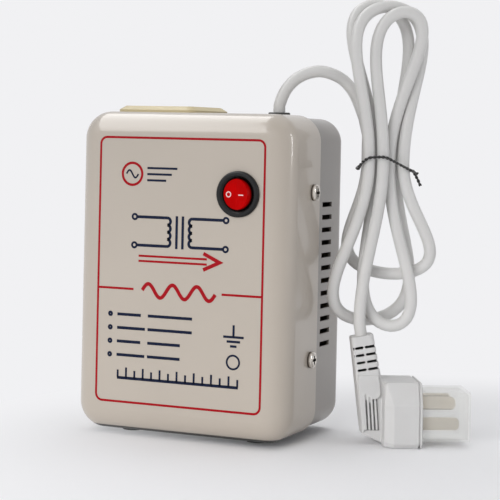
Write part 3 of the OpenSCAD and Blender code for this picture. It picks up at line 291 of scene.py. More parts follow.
@dataclass(frozen=True)
class Finish:
    """Plain satin surface with a faint cloud in its colour and a fine grain."""

    name: str
    colour: Triple
    roughness: float = 0.45
    metallic: float = 0.0
    coat: float = 0.0
    coat_roughness: float = 0.08
    cloud: float = 0.05
    cloud_size: float = 18.0
    cloud_step: Pair = (0.3, 0.7)
    cloud_detail: float = 3.0
    fine_share: float = 0.25
    swing: float = 0.08
    grain: float = 0.012
    grain_size: float = 0.35
    grain_detail: float = 2.0
    specular: float = 0.5

    def material(self) -> Material:
        """The Blender material, made once for each finish.

        Returns:
            The material of that name.
        """
        if self.name not in bpy.data.materials:
            self.fill(Shading(self.name))
        return bpy.data.materials[self.name]

    def darker(self, share: float) -> Triple:
        """The finish's colour taken down by a share."""
        return tuple(value * (1 - share) for value in self.colour)

    def clouded(self, shading: Shading, cloud: Field) -> NodeSocket:
        """The finish's colour, darker where the cloud is low."""
        return shading.mix(cloud.step(*self.cloud_step), self.darker(self.cloud), self.colour)

    def fill(self, shading: Shading) -> None:
        """Builds the nodes.

        Args:
            shading: Material to fill.
        """
        cloud = shading.noise(self.cloud_size, self.cloud_detail)
        fine = shading.noise(self.grain_size, self.grain_detail)
        shading.set(
            Base_Color=self.clouded(shading, (1 - self.fine_share) * cloud + self.fine_share * fine),
            Roughness=fine.around(self.roughness, self.swing),
            Metallic=self.metallic,
            Coat_Weight=self.coat,
            Coat_Roughness=self.coat_roughness,
            Specular_IOR_Level=self.specular,
        )
        shading.bump(fine, self.grain)


@dataclass(frozen=True)
class GlossPaint(Finish):
    """Sprayed gloss paint with orange peel and dust, with painted shade that may darken it towards its top
    and a painted contact shadow along its lowest edge.
    """

    coat_roughness: float = 0.05
    swing: float = 0.1
    grain_detail: float = 3.0
    peel: float = 0.02
    peel_size: float = 2.2
    peel_detail: float = 1.0
    fine_peel: float = 0.2
    specks: Pair = (0.66, 0.74)
    speck_share: float = 0.25
    speck_dark: float = 0.45
    # Painted shade that darkens the paint towards its top, up to the height below
    dusk: float = 0.0
    height: float = 165.0
    # Heights over the foot where the painted contact shadow along the lowest edge fades out
    sill: Pair = (1.9, 2.5)
    sill_share: float = 0.96
    darkest: float = 0.98

    def fill(self, shading: Shading) -> None:
        """Builds the nodes.

        Args:
            shading: Material to fill.
        """
        cloud = shading.noise(self.cloud_size, self.cloud_detail)
        peel = shading.noise(self.peel_size, self.peel_detail)
        fine = shading.noise(self.grain_size, self.grain_detail)
        specks = fine.step(*self.specks)
        z = shading.axes((0.0, 0.0, FOOT_H))[2]
        # Painted contact shadow: under this band the colour darkens and the coat goes
        above = z.step(*self.sill)
        tone = self.clouded(shading, cloud)
        shading.set(
            Base_Color=shading.mix(self.speck_share * specks, tone, self.darker(self.speck_dark)),
            Roughness=(cloud + specks).around(self.roughness, self.swing),
            Coat_Weight=self.coat * above,
            Coat_Roughness=self.coat_roughness,
        )
        # Painted shade towards the top and painted contact shadow along the lowest edge
        dark = self.dusk * z.step(0.0, self.height) + self.sill_share * (1 - above)
        shading.shade(dark.held(), self.darker(self.darkest))
        shading.bump(peel + self.fine_peel * fine, self.peel)


@dataclass(frozen=True)
class SlottedMoulding(Finish):
    """Satin moulding of the plug, with painted shade inside the slots of its strain relief and between its
    ribs.
    """

    shade: Triple = (0.015, 0.015, 0.015)
    relief_place: Triple = (84.378, 7.145, 35.0)
    slot_top: float = 14.7
    slot_rows: Pair = (-0.06, 3.5)
    slot_share: Pair = (-0.02, 0.35)
    slot_x: Pair = (-5.55, 5.6)
    slot_y: Pair = (-1.0, 5.4)
    plug_place: Triple = (107.6, 19.492, 0.0)
    floor_x: Pair = (-28.2, -20.3)
    floor_y: Pair = (-1.0, 6.3)
    floor_z: Pair = (7.2, 26.4)
    floor_share: float = 0.7

    def fill(self, shading: Shading) -> None:
        """Builds the nodes, and paints shade into four slots on each side of the relief and onto the floor
        between the ribs.

        Args:
            shading: Material to fill.
        """
        super().fill(shading)
        x, y, z = shading.axes(self.relief_place, (0.0, -RELIEF_TILT, PLUG_TURN))
        row = (self.slot_top - z) / SLOT_PITCH
        gap = row.within(*self.slot_rows) * row.fraction().within(*self.slot_share)
        slots = gap * abs(y).within(*self.slot_y) * x.within(*self.slot_x)
        x, y, z = shading.axes(self.plug_place, (0.0, 0.0, PLUG_TURN))
        along = x + RIB_LEAN * (z - RIB_LOW)
        floor = along.within(*self.floor_x) * abs(y).within(*self.floor_y) * z.within(*self.floor_z)
        # Painted shade in the slots, and less of it on the floor between the ribs
        shading.shade((slots + self.floor_share * floor).held(), self.shade)


@dataclass(frozen=True)
class SunkMoulding(Finish):
    """Moulding with painted shade towards its rim, where it sinks into its bezel."""

    middle: Triple = (32.0, 0.0, 125.4)
    edge: Pair = (7.4, 7.9)
    shade: Triple = (0.012, 0.002, 0.002)

    def fill(self, shading: Shading) -> None:
        """Builds the nodes.

        Args:
            shading: Material to fill.
        """
        super().fill(shading)
        x, _, z = shading.axes(self.middle)
        inner, outer = self.edge
        # Painted shade in a ring at the rim
        shading.shade((x * x + z * z).step(inner ** 2, outer ** 2), self.shade)


@dataclass(frozen=True)
class PlatedMetal(Finish):
    """Plated or rolled metal with fine marks along one axis."""

    cloud_step: Pair = (0.35, 0.65)
    cloud_detail: float = 2.0
    swing: float = 0.18
    grain_detail: float = 3.0
    stretch: Triple = (1.0, 1.0, 8.0)

    def fill(self, shading: Shading) -> None:
        """Builds the nodes.

        Args:
            shading: Material to fill.
        """
        marks = shading.noise(self.grain_size, self.grain_detail, self.stretch)
        shading.set(
            Base_Color=self.clouded(shading, shading.noise(self.cloud_size, self.cloud_detail)),
            Roughness=marks.around(self.roughness, self.swing),
            Metallic=self.metallic,
        )
        shading.bump(marks, self.grain)


@dataclass(frozen=True)
class PanHead(PlatedMetal):
    """Polished heads of the side screws, with painted shade where they meet the case and inside the cross,
    and a painted dark reflection in a ring near the rim.
    """

    middle: Triple = (0.0, -8.41, 84.15)
    half_z: float = 42.25
    # Distances out from the middle where painted shade darkens the head next to the case
    foot: Triple = (58.0, 60.3, 0.3)
    # Radii of the painted dark reflection near the rim
    ring: Pair = (2.5, 3.3)
    ring_soft: float = 0.8
    ring_share: float = 0.3
    cross: Pair = (0.75, 2.3)
    tint: Triple = seen(58, 50, 44)
    tint_share: float = 0.85

    def fill(self, shading: Shading) -> None:
        """Builds the nodes.

        Args:
            shading: Material to fill.
        """
        super().fill(shading)
        x, y, z = shading.axes(self.middle)
        drop = abs(z) - self.half_z
        inner, outer = self.ring
        ring = (y * y + drop * drop).within(inner ** 2, outer ** 2, self.ring_soft)
        across, along = ((-1.0, reach) for reach in self.cross)
        upright = abs(y).within(*across) * abs(drop).within(*along)
        level = abs(y).within(*along) * abs(drop).within(*across)
        # Painted shade next to the case and in the cross, with the painted dark reflection ring
        dark = abs(x).within(*self.foot) + self.ring_share * ring + upright + level
        shading.shade(self.tint_share * dark.held(), self.tint)


@dataclass(frozen=True)
class Laminated(Finish):
    """Stacked sheets with a dark line between one sheet and the next."""

    swing: float = 0.1
    pitch: float = 0.5
    axis: int = 0
    line: float = 0.45
    line_dark: float = 0.6

    def fill(self, shading: Shading) -> None:
        """Builds the nodes.

        Args:
            shading: Material to fill.
        """
        wave = (shading.axes()[self.axis] * (pi / self.pitch)).sine()
        sheet = abs(wave).step(0.0, self.line)
        cloud = shading.noise(self.cloud_size, self.cloud_detail)
        shading.set(
            Base_Color=shading.mix(sheet, self.darker(self.line_dark), self.clouded(shading, cloud)),
            Roughness=cloud.around(self.roughness, self.swing),
            Metallic=self.metallic,
            Coat_Weight=self.coat,
        )
        shading.bump(sheet, self.grain)


@dataclass(frozen=True)
class ClearPlastic(Finish):
    """Thin clear plastic that shows what lies behind it, with a frosted cloud."""

    cloud_detail: float = 2.0
    swing: float = 0.1
    body: float = 0.22
    body_swing: float = 0.12

    def fill(self, shading: Shading) -> None:
        """Builds the nodes.

        Args:
            shading: Material to fill.
        """
        cloud = shading.noise(self.cloud_size, self.cloud_detail)
        shading.set(
            Base_Color=self.clouded(shading, cloud),
            Roughness=cloud.around(self.roughness, self.swing),
            Alpha=cloud.around(self.body, self.body_swing),
        )
        shading.bump(cloud, self.grain)


class Palette:
    """Finishes of the object, each under the name of its slot in the record, and those of the prints."""

    case_front = GlossPaint(
        "paint_warm_grey", seen(185, 175, 163), 0.36, coat=0.55, cloud=0.025, cloud_size=45.0
    )
    # The rear shell's darker grey is partly its own cooler paint and partly painted shade, and it gets more
    # painted shade towards its top
    case_rear = GlossPaint("paint_rear_grey", seen(150, 143, 136), 0.36, coat=0.45, cloud=0.04, dusk=0.3)
    screw_nickel = PanHead("nickel_plate", seen(212, 206, 198), 0.16, 1.0, cloud=0.12, grain=0.004)
    zinc_steel = PlatedMetal("zinc_plate", seen(176, 178, 176), 0.36, 1.0, cloud=0.2, grain=0.006)
    black_rubber = Finish("black_rubber", seen(28, 28, 30), 0.6, cloud=0.3, cloud_size=6.0, grain=0.02)
    outlet_beige = Finish("beige_moulding", seen(212, 197, 156), 0.42, grain=0.006, specular=0.3)
    contact_brass = PlatedMetal("brass_strip", seen(204, 192, 172), 0.3, 1.0, cloud=0.15, grain=0.004)
    switch_black = Finish(
        "charcoal_moulding", seen(14, 15, 16), 0.42, cloud=0.2, cloud_size=5.0, grain=0.01, specular=0.3
    )
    rocker_red = SunkMoulding(
        "red_moulding", seen(194, 1, 2), 0.3, cloud=0.2, cloud_size=9.0, grain=0.002, specular=0.03
    )
    lamp_glass = ClearPlastic("lamp_glass", seen(238, 176, 120), 0.08, grain=0.0)
    core_steel = Laminated("core_sheets", seen(92, 94, 98), 0.5, 0.6, cloud=0.25, grain=0.05)
    bobbin_nylon = Finish("natural_nylon", seen(226, 222, 208), 0.42, cloud=0.06, cloud_size=12.0)
    enamelled_copper = Laminated(
        "enamelled_wire", seen(178, 92, 44), 0.28, 0.7, 0.6, grain=0.12, pitch=0.7, axis=1
    )
    film_yellow = Finish("polyester_film", seen(224, 186, 48), 0.25, coat=0.3, cloud=0.08, grain=0.006)
    wire_brown = Finish("brown_insulation", seen(104, 58, 34), 0.4, cloud=0.1)
    wire_blue = Finish("blue_insulation", seen(42, 92, 168), 0.4, cloud=0.1)
    wire_white = Finish("white_insulation", seen(222, 222, 220), 0.4, cloud=0.06)
    wire_green = Finish("green_insulation", seen(110, 150, 52), 0.4, cloud=0.1)
    cord_grey = Finish("cord_jacket", seen(217, 216, 214), 0.38, cloud=0.045, cloud_size=26.0, specular=0.4)
    tie_black = Finish("black_tie", seen(30, 29, 28), 0.3, coat=0.4, cloud=0.3, cloud_size=4.0)
    plug_grey = SlottedMoulding(
        "slotted_moulding", seen(213, 212, 211), 0.46, cloud=0.04, cloud_size=14.0, grain=0.015, specular=0.35
    )
    cap_clear = ClearPlastic("clear_cap", seen(238, 238, 234), 0.16, cloud=0.03, grain=0.01)
    print_red = Finish(
        "red_ink", seen(164, 4, 22), 0.42, cloud=0.12, cloud_size=3.0, grain=0.004, specular=0.15
    )
    print_navy = Finish(
        "navy_ink", seen(14, 25, 52), 0.42, cloud=0.2, cloud_size=3.0, grain=0.004, specular=0.15
    )
    mark_white = Finish("white_ink", seen(246, 214, 214), 0.4, cloud=0.08, cloud_size=2.0, grain=0.002)


def linked(name: str, data: ID) -> Object:
    """Puts an object in the scene.

    Args:
        name: Name of the object.
        data: Its mesh, curve, lamp or camera.

    Returns:
        The new object, at the origin.
    """
    made = bpy.data.objects.new(name, data)
    bpy.context.scene.collection.objects.link(made)
    return made


def dress(piece: Object, finish: Finish) -> None:
    """Gives a piece its only material.

    Args:
        piece: Mesh or curve.
        finish: Finish of the whole piece.
    """
    piece.data.materials.clear()
    piece.data.materials.append(finish.material())
    log.info("dressed %s in %s", piece.name, finish.name)


def add_piece(name: str, data: ID, body: Body) -> Object:
    """Puts a mesh or curve in the scene and lets it ride on a body.

    Args:
        name: Name of the piece.
        data: Mesh or curve with its place in its points, in metres.
        body: Body that carries the piece.

    Returns:
        The new object, at the origin.
    """
    piece = linked(name, data)
    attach(piece, body.value)
    log.info("made %s on %s", name, body.value)
    return piece


def mesh_of(name: str, shape: BMesh, place: Matrix, smooth_angle: float = 40.0) -> Mesh:
    """Turns a shape in millimetres into a mesh in metres and frees the shape.

    Args:
        name: Name of the mesh.
        shape: Shape in its own frame.
        place: Place of that frame in the part's frame, in millimetres.
        smooth_angle: Edges sharper than this stay sharp.

    Returns:
        The mesh.
    """
    bmesh.ops.transform(shape, matrix=Matrix.Scale(MM, 4) @ place, verts=shape.verts)
    bmesh.ops.recalc_face_normals(shape, faces=shape.faces)
    for face in shape.faces:
        face.smooth = True
    for edge in shape.edges:
        edge.smooth = not (edge.is_manifold and edge.calc_face_angle(0.0) > radians(smooth_angle))
    mesh = bpy.data.meshes.new(name)
    shape.to_mesh(mesh)
    shape.free()
    return mesh


def smooth_through(points: Sequence[Vector], steps: int) -> list[Vector]:
    """Smooth curve through points.

    Args:
        points: Points in order.
        steps: Points of the result for each stretch.

    Returns:
        Points of the curve, from the first point to the last.
    """
    last = len(points) - 1
    made = []
    for index in range(last):
        a, b, c, d = (points[min(max(index + shift, 0), last)] for shift in (-1, 0, 1, 2))
        for step in range(steps):
            f = step / steps
            square = (2 * a - 5 * b + 4 * c - d) * (f * f / 2)
            cube = (3 * b - a - 3 * c + d) * (f * f * f / 2)
            made.append(b + (c - a) * (f / 2) + square + cube)
    return made + [points[last]]


def curve_of(name: str, runs: Iterable[Sequence[Vector]], diameter: float, sides: int) -> Curve:
    """Round tube along one or more open runs.

    Args:
        name: Name of the curve.
        runs: Points of each run, in millimetres.
        diameter: Diameter of the tube in millimetres.
        sides: Bevel resolution of the tube.

    Returns:
        The curve in metres.
    """
    curve = bpy.data.curves.new(name, "CURVE")
    curve.dimensions = "3D"
    curve.bevel_depth = 1.0
    curve.bevel_resolution = sides
    curve.use_fill_caps = True
    for run in runs:
        spline = curve.splines.new("POLY")
        spline.points.add(len(run) - 1)
        for point, place in zip(spline.points, run):
            point.co = (*(place * MM), 1.0)
            point.radius = diameter / 2 * MM
        spline.use_smooth = True
    return curve


@dataclass(frozen=True)
class Lamp:
    """Area lamp, which lights either in general or only as a gleam on glossy surfaces."""

    name: str
    place: Triple
    size: Pair
    power: float
    aim: Triple = (30.0, 0.0, 80.0)
    roll: float = 0.0
    spread: float = 180.0
    gleam: bool = False

    def build(self) -> None:
        """Adds the lamp, which faces its aim."""
        data = bpy.data.lights.new(self.name, "AREA")
        data.shape = "RECTANGLE"
        data.size, data.size_y = (side * MM for side in self.size)
        data.energy = self.power
        data.spread = radians(self.spread)
        lamp = linked(self.name, data)
        lamp.visible_glossy = self.gleam
        lamp.visible_diffuse = not self.gleam
        way = (Vector(self.aim) - Vector(self.place)).to_track_quat("-Z", "Y").to_matrix().to_4x4()
        lamp.matrix_world = Matrix.Translation(Vector(self.place) * MM) @ way @ turned(self.roll, "Z")


@dataclass
class Studio:
    """Camera, pale floor, world and lamps."""

    camera_place: Triple = (375.3, -793.31, 154.35)
    heading: float = 24.14
    roll: float = 1.24
    lens: float = 120.43
    sensor: float = 36.0
    shift_y: float = -0.228
    clip: Pair = (0.05, 50.0)
    backdrop: Triple = seen(241, 241, 243)
    sky: Triple = (0.97, 0.98, 1.0)
    sky_strength: float = 0.36
    floor: Triple = seen(252, 252, 254)
    floor_roughness: float = 0.9
    floor_r: float = 9000.0
    floor_sides: int = 64
    fade_middle: Triple = (150.0, 0.0, 0.0)
    fade_r: float = 291.55
    lamps: tuple[Lamp, ...] = (
        Lamp("key", (60.0, -1150.0, 620.0), (600.0, 600.0), 3.7),
        Lamp("low", (-330.0, -900.0, 90.0), (900.0, 160.0), 0.27, (0.0, 0.0, -20.0), spread=30.0),
        Lamp("top", (150.0, 250.0, 1150.0), (900.0, 700.0), 4.5),
        Lamp("edge", (900.0, 78.0, 340.0), (75.0, 440.0), 1.4, (58.0, -37.0, 130.0), gleam=True),
        Lamp("gloss", (-564.0, -330.0, 920.0), (460.0, 2200.0), 15.0, roll=52.0, gleam=True),
    )

    def build(self) -> None:
        """Makes the whole studio."""
        bpy.context.scene.view_settings.view_transform = "Standard"
        self._add_camera()
        self._add_floor()
        self._set_world()
        for lamp in self.lamps:
            lamp.build()

    def _add_camera(self) -> None:
        """Places the camera at the photograph's viewing angle."""
        data = bpy.data.cameras.new("camera")
        data.lens = self.lens
        data.sensor_width = self.sensor
        data.shift_y = self.shift_y
        data.clip_start, data.clip_end = self.clip
        camera = linked("camera", data)
        facing = turned(self.heading, "Z") @ turned(90.0, "X") @ turned(self.roll, "Z")
        camera.matrix_world = Matrix.Translation(Vector(self.camera_place) * MM) @ facing
        bpy.context.scene.camera = camera

    def _add_floor(self) -> None:
        """Adds a wide floor that fades into the backdrop away from the object."""
        shape = bmesh.new()
        bmesh.ops.create_circle(shape, cap_ends=True, segments=self.floor_sides, radius=self.floor_r)
        floor = linked("floor", mesh_of("floor", shape, Matrix.Identity(4)))
        shading = Shading("studio_floor")
        shading.set(Base_Color=self.floor, Roughness=self.floor_roughness)
        x, y, _ = shading.axes(self.fade_middle)
        far = (x * x + y * y).step(0.0, self.fade_r ** 2)
        glow = shading.node("ShaderNodeEmission", None, {"Color": self.backdrop, "Strength": 1.0})
        mixed = shading.node("ShaderNodeMixShader", None, {0: far, 1: shading.shader, 2: glow})
        shading.feed(shading.out.inputs["Surface"], mixed)
        floor.data.materials.append(shading.material)

    def _set_world(self) -> None:
        """Lights the object softly, and shows the pale backdrop to the eye, to gloss and through glass."""
        bpy.context.scene.world = bpy.data.worlds.new("studio")
        tree = Nodes(bpy.context.scene.world)
        rays = tree.node("ShaderNodeLightPath").outputs
        kinds = ("Camera", "Glossy", "Transmission")
        eye, gloss, through = (Field(tree, rays[f"Is {kind} Ray"]) for kind in kinds)
        dim = tree.node("ShaderNodeBackground", None, {"Color": self.sky, "Strength": self.sky_strength})
        pale = tree.node("ShaderNodeBackground", None, {"Color": self.backdrop, "Strength": 1.0})
        shown = eye.highest(gloss.highest(through))
        mixed = tree.node("ShaderNodeMixShader", None, {0: shown, 1: dim, 2: pale})
        tree.node("ShaderNodeOutputWorld", None, {"Surface": mixed})


@dataclass
class MainsCord:
    """The lead from the grommet, its hank and the run into the plug, as one unbroken cord."""

    diameter: float = 6.2
    exit_place: Vector = field(default_factory=lambda: Vector((35.7, 0.7919, 166.8)))
    lead_points: tuple[Triple, ...] = (
        (35.7, 0.8, 170.4), (37, 1.5, 175), (39.5, 2.5, 180), (43.5, 4.5, 184.5),
        (49, 7, 187.5), (55, 9.5, 188.5), (60.5, 13, 187), (65, 16.5, 184),
        (69.5, 18.5, 178.5), (72, 21, 172), (74.5, 22, 165),
    )
    lead_steps: int = 4
    hank_turn: float = 24.14
    hank_x: float = 89.7
    hank_y: float = 50.0
    waist_z: float = 142.0
    hank_start_z: float = 150.0
    waist_straight: float = 3.0
    strand_gap: float = 1.0
    strand_shares: tuple[Pair, ...] = (
        (-1, 1.74), (1.5, 0.87), (-1, 0), (1, 1.74), (-0.5, 0.87), (0.5, 0.87), (0, 0),
    )
    # Direction, first leg's side, reach, middle's shift, half width, bulge in depth and skew of each lobe
    lobes: tuple[tuple[float, ...], ...] = (
        (-1, -1, 57, 4.5, 15.5, 2.5, 2),
        (1, 1, 80, 1, 12, 1.5, 5.5),
        (-1, -1, 81, -6.5, 15.5, 6, -4),
        (1, 1, 81, -6, 11.5, 0.5, 3.5),
        (-1, -1, 83, 6, 9.8, -2, 2),
        (1, 1, 77, 8, 10.2, -4, -1),
    )
    # Highest value of sin(2 pi share) sin(pi share), by which a leg's swing is divided
    leg_peak: float = 0.7698
    relief_entry: Vector = field(default_factory=lambda: Vector((81.4482, 5.5868, 54.6213)))
    relief_way: Vector = field(default_factory=lambda: Vector((-0.14725, -0.07829, 0.98600)))
    lobe_points: int = 48
    tail_points: int = 24
    sides: int = 6
    length: float = 1238.77

    def hank_place(self, side: float, depth: float, z: float) -> Vector:
        """Turns a place of the hank's own frame into the part's.

        Args:
            side: Distance across the hank as the camera sees it.
            depth: Distance away from the camera.
            z: Height.

        Returns:
            The place in the part's frame.
        """
        turn = radians(self.hank_turn)
        x = self.hank_x + side * cos(turn) - depth * sin(turn)
        y = FRONT_Y + self.hank_y + side * sin(turn) + depth * cos(turn)
        return Vector((x, y, z))

    def strand(self, index: int) -> Pair:
        """Sideways place and depth of a strand at the waist."""
        pitch = self.diameter + self.strand_gap
        return tuple(share * pitch for share in self.strand_shares[index])

    def _lobe_point(self, index: int, share: float) -> Vector:
        """Point of a lobe.

        Args:
            index: Which lobe.
            share: How far along it, from 0 to 1.

        Returns:
            The place in the part's frame.
        """
        way, first, reach, shift, half_width, bulge, skew = self.lobes[index]
        start, end = self.strand(index), self.strand(index + 1)
        swing = sin(pi * share)
        mix = sin(pi / 2 * share) ** 2
        swell = swing ** 2
        leg = sin(2 * pi * share) * swing / self.leg_peak
        side = start[0] + (end[0] - start[0]) * mix + shift * swell + first * half_width * leg
        depth = start[1] + (end[1] - start[1]) * mix + bulge * swell + skew * leg
        return self.hank_place(side, depth, self.waist_z + way * reach * swing)

    def _tail_point(self, share: float) -> Vector:
        """Point of the run from the last strand into the plug.

        Args:
            share: How far along it, from 0 to 1.

        Returns:
            The place in the part's frame.
        """
        start = self.hank_place(*self.strand(len(self.lobes)), self.waist_z)
        above = self.relief_entry + self.relief_way * self.diameter
        level = start + (above - start) * sin(pi / 2 * share) ** 2
        return Vector((level.x, level.y, start.z + (above.z - start.z) * share))

    def path(self) -> list[Vector]:
        """The cord's whole way.

        Returns:
            Its centreline in millimetres, from the grommet to the plug.
        """
        start = self.hank_place(*self.strand(0), self.hank_start_z)
        lead = [Vector(point) for point in self.lead_points]
        points = [self.exit_place, *smooth_through(lead, self.lead_steps)]
        points += [start + Vector((0, 0, self.diameter)), start]
        points.append(start - Vector((0, 0, self.hank_start_z - self.waist_z - self.waist_straight)))
        for index in range(len(self.lobes)):
            points += [self._lobe_point(index, step / self.lobe_points) for step in range(self.lobe_points)]
        points += [self._tail_point(step / self.tail_points) for step in range(self.tail_points + 1)]
        return [*points, self.relief_entry]

    def build(self) -> Object:
        """Makes the cord, in place of the two plain solids.

        Returns:
            The cord.
        """
        tube = curve_of("mains_cord", [self.path()], self.diameter, self.sides)
        cord = add_piece("mains_cord", tube, Body.CASE)
        dress(cord, Palette.cord_grey)
        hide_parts("cord_lead", "cord_hank")
        return cord


@dataclass
class TwistTie:
    """Two plastic-coated wires twisted together and wound once round the hank's waist."""

    cord: MainsCord
    thickness: float = 1.5
    gap: float = 1.4
    rings: int = 32
    lift: float = 3.2
    slope: float = 0.6
    fall: float = 3.0
    sag_radii: Pair = (24.0, 90.0)
    sag_middle: float = -3.6
    softness: float = 0.6
    knot_angle: float = 15.0
    tail: float = 6.0
    wire: float = 0.85
    wire_sides: int = 2
    pitch: float = 4.4
    steps: int = 10

    def _place(self, angle: float, extra: float) -> Vector:
        """Point of the loop at an angle round the strands.

        Args:
            angle: The angle.
            extra: Distance further out.

        Returns:
            The place in the part's frame.
        """
        way = (cos(radians(angle)), sin(radians(angle)))
        strands = [self.cord.strand(index) for index in range(len(self.cord.strand_shares))]
        reaches = [strand[0] * way[0] + strand[1] * way[1] for strand in strands]
        weights = [exp((reach - max(reaches)) / self.softness) for reach in reaches]
        shares = [weight / sum(weights) for weight in weights]
        far = [sum(share * strand[axis] for share, strand in zip(shares, strands)) for axis in (0, 1)]
        out = self.cord.diameter / 2 + self.thickness / 2 + self.gap + extra
        side, depth = far[0] + out * way[0], far[1] + out * way[1]
        sag = (side - self.sag_middle) ** 2 / self.sag_radii[side > self.sag_middle]
        drop = min(self.slope * (depth + out), self.fall) + sag
        return self.cord.hank_place(side, depth, self.cord.waist_z + self.lift - drop)

    def path(self) -> list[Vector]:
        """The tie's whole way.

        Returns:
            Its centreline, from its knot round the waist to its tail.
        """
        knot = self._place(self.knot_angle, self.thickness * 2)
        ring = [self._place(self.knot_angle + 360 * step / self.rings, 0.0) for step in range(1, self.rings)]
        low = knot + Vector((0, 0, -self.thickness * 2))
        return smooth_through([knot, *ring, low, knot + Vector((self.thickness, 0, -self.tail))], self.steps)

    def build(self) -> Object:
        """Makes the tie, in place of the plain solid.

        Returns:
            The tie.
        """
        middle = self.path()
        runs: list[list[Vector]] = [[], []]
        travelled = 0.0
        side = Vector((0, 0, 1))
        for index, point in enumerate(middle):
            ahead = middle[min(index + 1, len(middle) - 1)] - middle[max(index - 1, 0)]
            if index:
                travelled += (point - middle[index - 1]).length
            side = (side - ahead * (side.dot(ahead) / ahead.length_squared)).normalized()
            across = ahead.normalized().cross(side)
            turn = 2 * pi * travelled / self.pitch
            arm = (side * cos(turn) + across * sin(turn)) * (self.wire / 2)
            runs[0].append(point + arm)
            runs[1].append(point - arm)
        tie = add_piece("twist_tie", curve_of("twist_tie", runs, self.wire, self.wire_sides), Body.CASE)
        dress(tie, Palette.tie_black)
        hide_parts("cord_tie")
        return tie


class Ink:
    """Raised flat strokes of one colour, drawn in a plane in millimetres."""

    wave_steps = 28
    corner_steps = 8
    least_mitre = 0.4

    def __init__(self, depth: float) -> None:
        """Starts an empty drawing whose ink is as thick as given."""
        self.depth = depth
        self.shape = bmesh.new()

    def stroke(self, places: Sequence[Pair | Vector], width: float, closed: bool = False) -> None:
        """Draws a line of even width with mitred corners.

        Args:
            places: Its corners, in the plane.
            width: Its width.
            closed: Whether it returns to its start.
        """
        points = [Vector(place) for place in places]
        count = len(points)
        rims = []
        for index, point in enumerate(points):
            ways = []
            if index or closed:
                ways.append((point - points[index - 1]).normalized())
            if index < count - 1 or closed:
                ways.append((points[(index + 1) % count] - point).normalized())
            along = sum(ways, Vector((0, 0))).normalized()
            reach = width / 2 / max(along.dot(ways[0]), self.least_mitre)
            across = Vector((-along.y, along.x)) * reach
            left, right = point + across, point - across
            corners = [(side.x, side.y, z) for side, z in
                       ((left, 0.0), (right, 0.0), (right, self.depth), (left, self.depth))]
            rims.append([self.shape.verts.new(corner) for corner in corners])
        for index in range(count if closed else count - 1):
            first, second = rims[index], rims[(index + 1) % count]
            for edge in range(4):
                after = (edge + 1) % 4
                self.shape.faces.new((first[edge], first[after], second[after], second[edge]))
        if not closed:
            self.shape.faces.new(rims[0])
            self.shape.faces.new(rims[-1])

    def line(self, start: Pair, end: Pair, width: float) -> None:
        """Draws one straight bar."""
        self.stroke([start, end], width)

    def arc(self, middle: Pair, radius: float, first: float, last: float, width: float, steps: int) -> None:
        """Draws an arc between two angles in straight steps."""
        ways = [unit(first + (last - first) * step / steps) for step in range(steps + 1)]
        self.stroke([Vector(middle) + radius * way for way in ways], width)

    def ring(self, middle: Pair, radius: float, width: float, steps: int) -> None:
        """Draws a ring in straight steps."""
        ways = [unit(360 * step / steps) for step in range(steps)]
        self.stroke([Vector(middle) + radius * way for way in ways], width, True)

    def sine(self, start: Pair, length: float, height: float, waves: int, width: float) -> None:
        """Draws whole sine waves along an axis.

        Args:
            start: Their left end, on the axis.
            length: Their length along it.
            height: Height from the axis to a crest.
            waves: Number of waves.
            width: Width of the line.
        """
        count = self.wave_steps * waves
        shares = [step / count for step in range(count + 1)]
        rises = [height * sin(2 * pi * waves * share) for share in shares]
        points = [(start[0] + length * share, start[1] + rise) for share, rise in zip(shares, rises)]
        self.stroke(points, width)

    def frame(self, low: Pair, high: Pair, radius: float, width: float) -> None:
        """Draws a rounded rectangle's outline.

        Args:
            low: Its left lower corner.
            high: Its right upper corner.
            radius: Radius of its corners.
            width: Width of the line.
        """
        right, top, left, bottom = high[0] - radius, high[1] - radius, low[0] + radius, low[1] + radius
        points = []
        for quarter, inner in enumerate(((right, top), (left, top), (left, bottom), (right, bottom))):
            shares = [step / self.corner_steps for step in range(self.corner_steps + 1)]
            points += [Vector(inner) + radius * unit(90 * (quarter + share)) for share in shares]
        self.stroke(points, width, True)


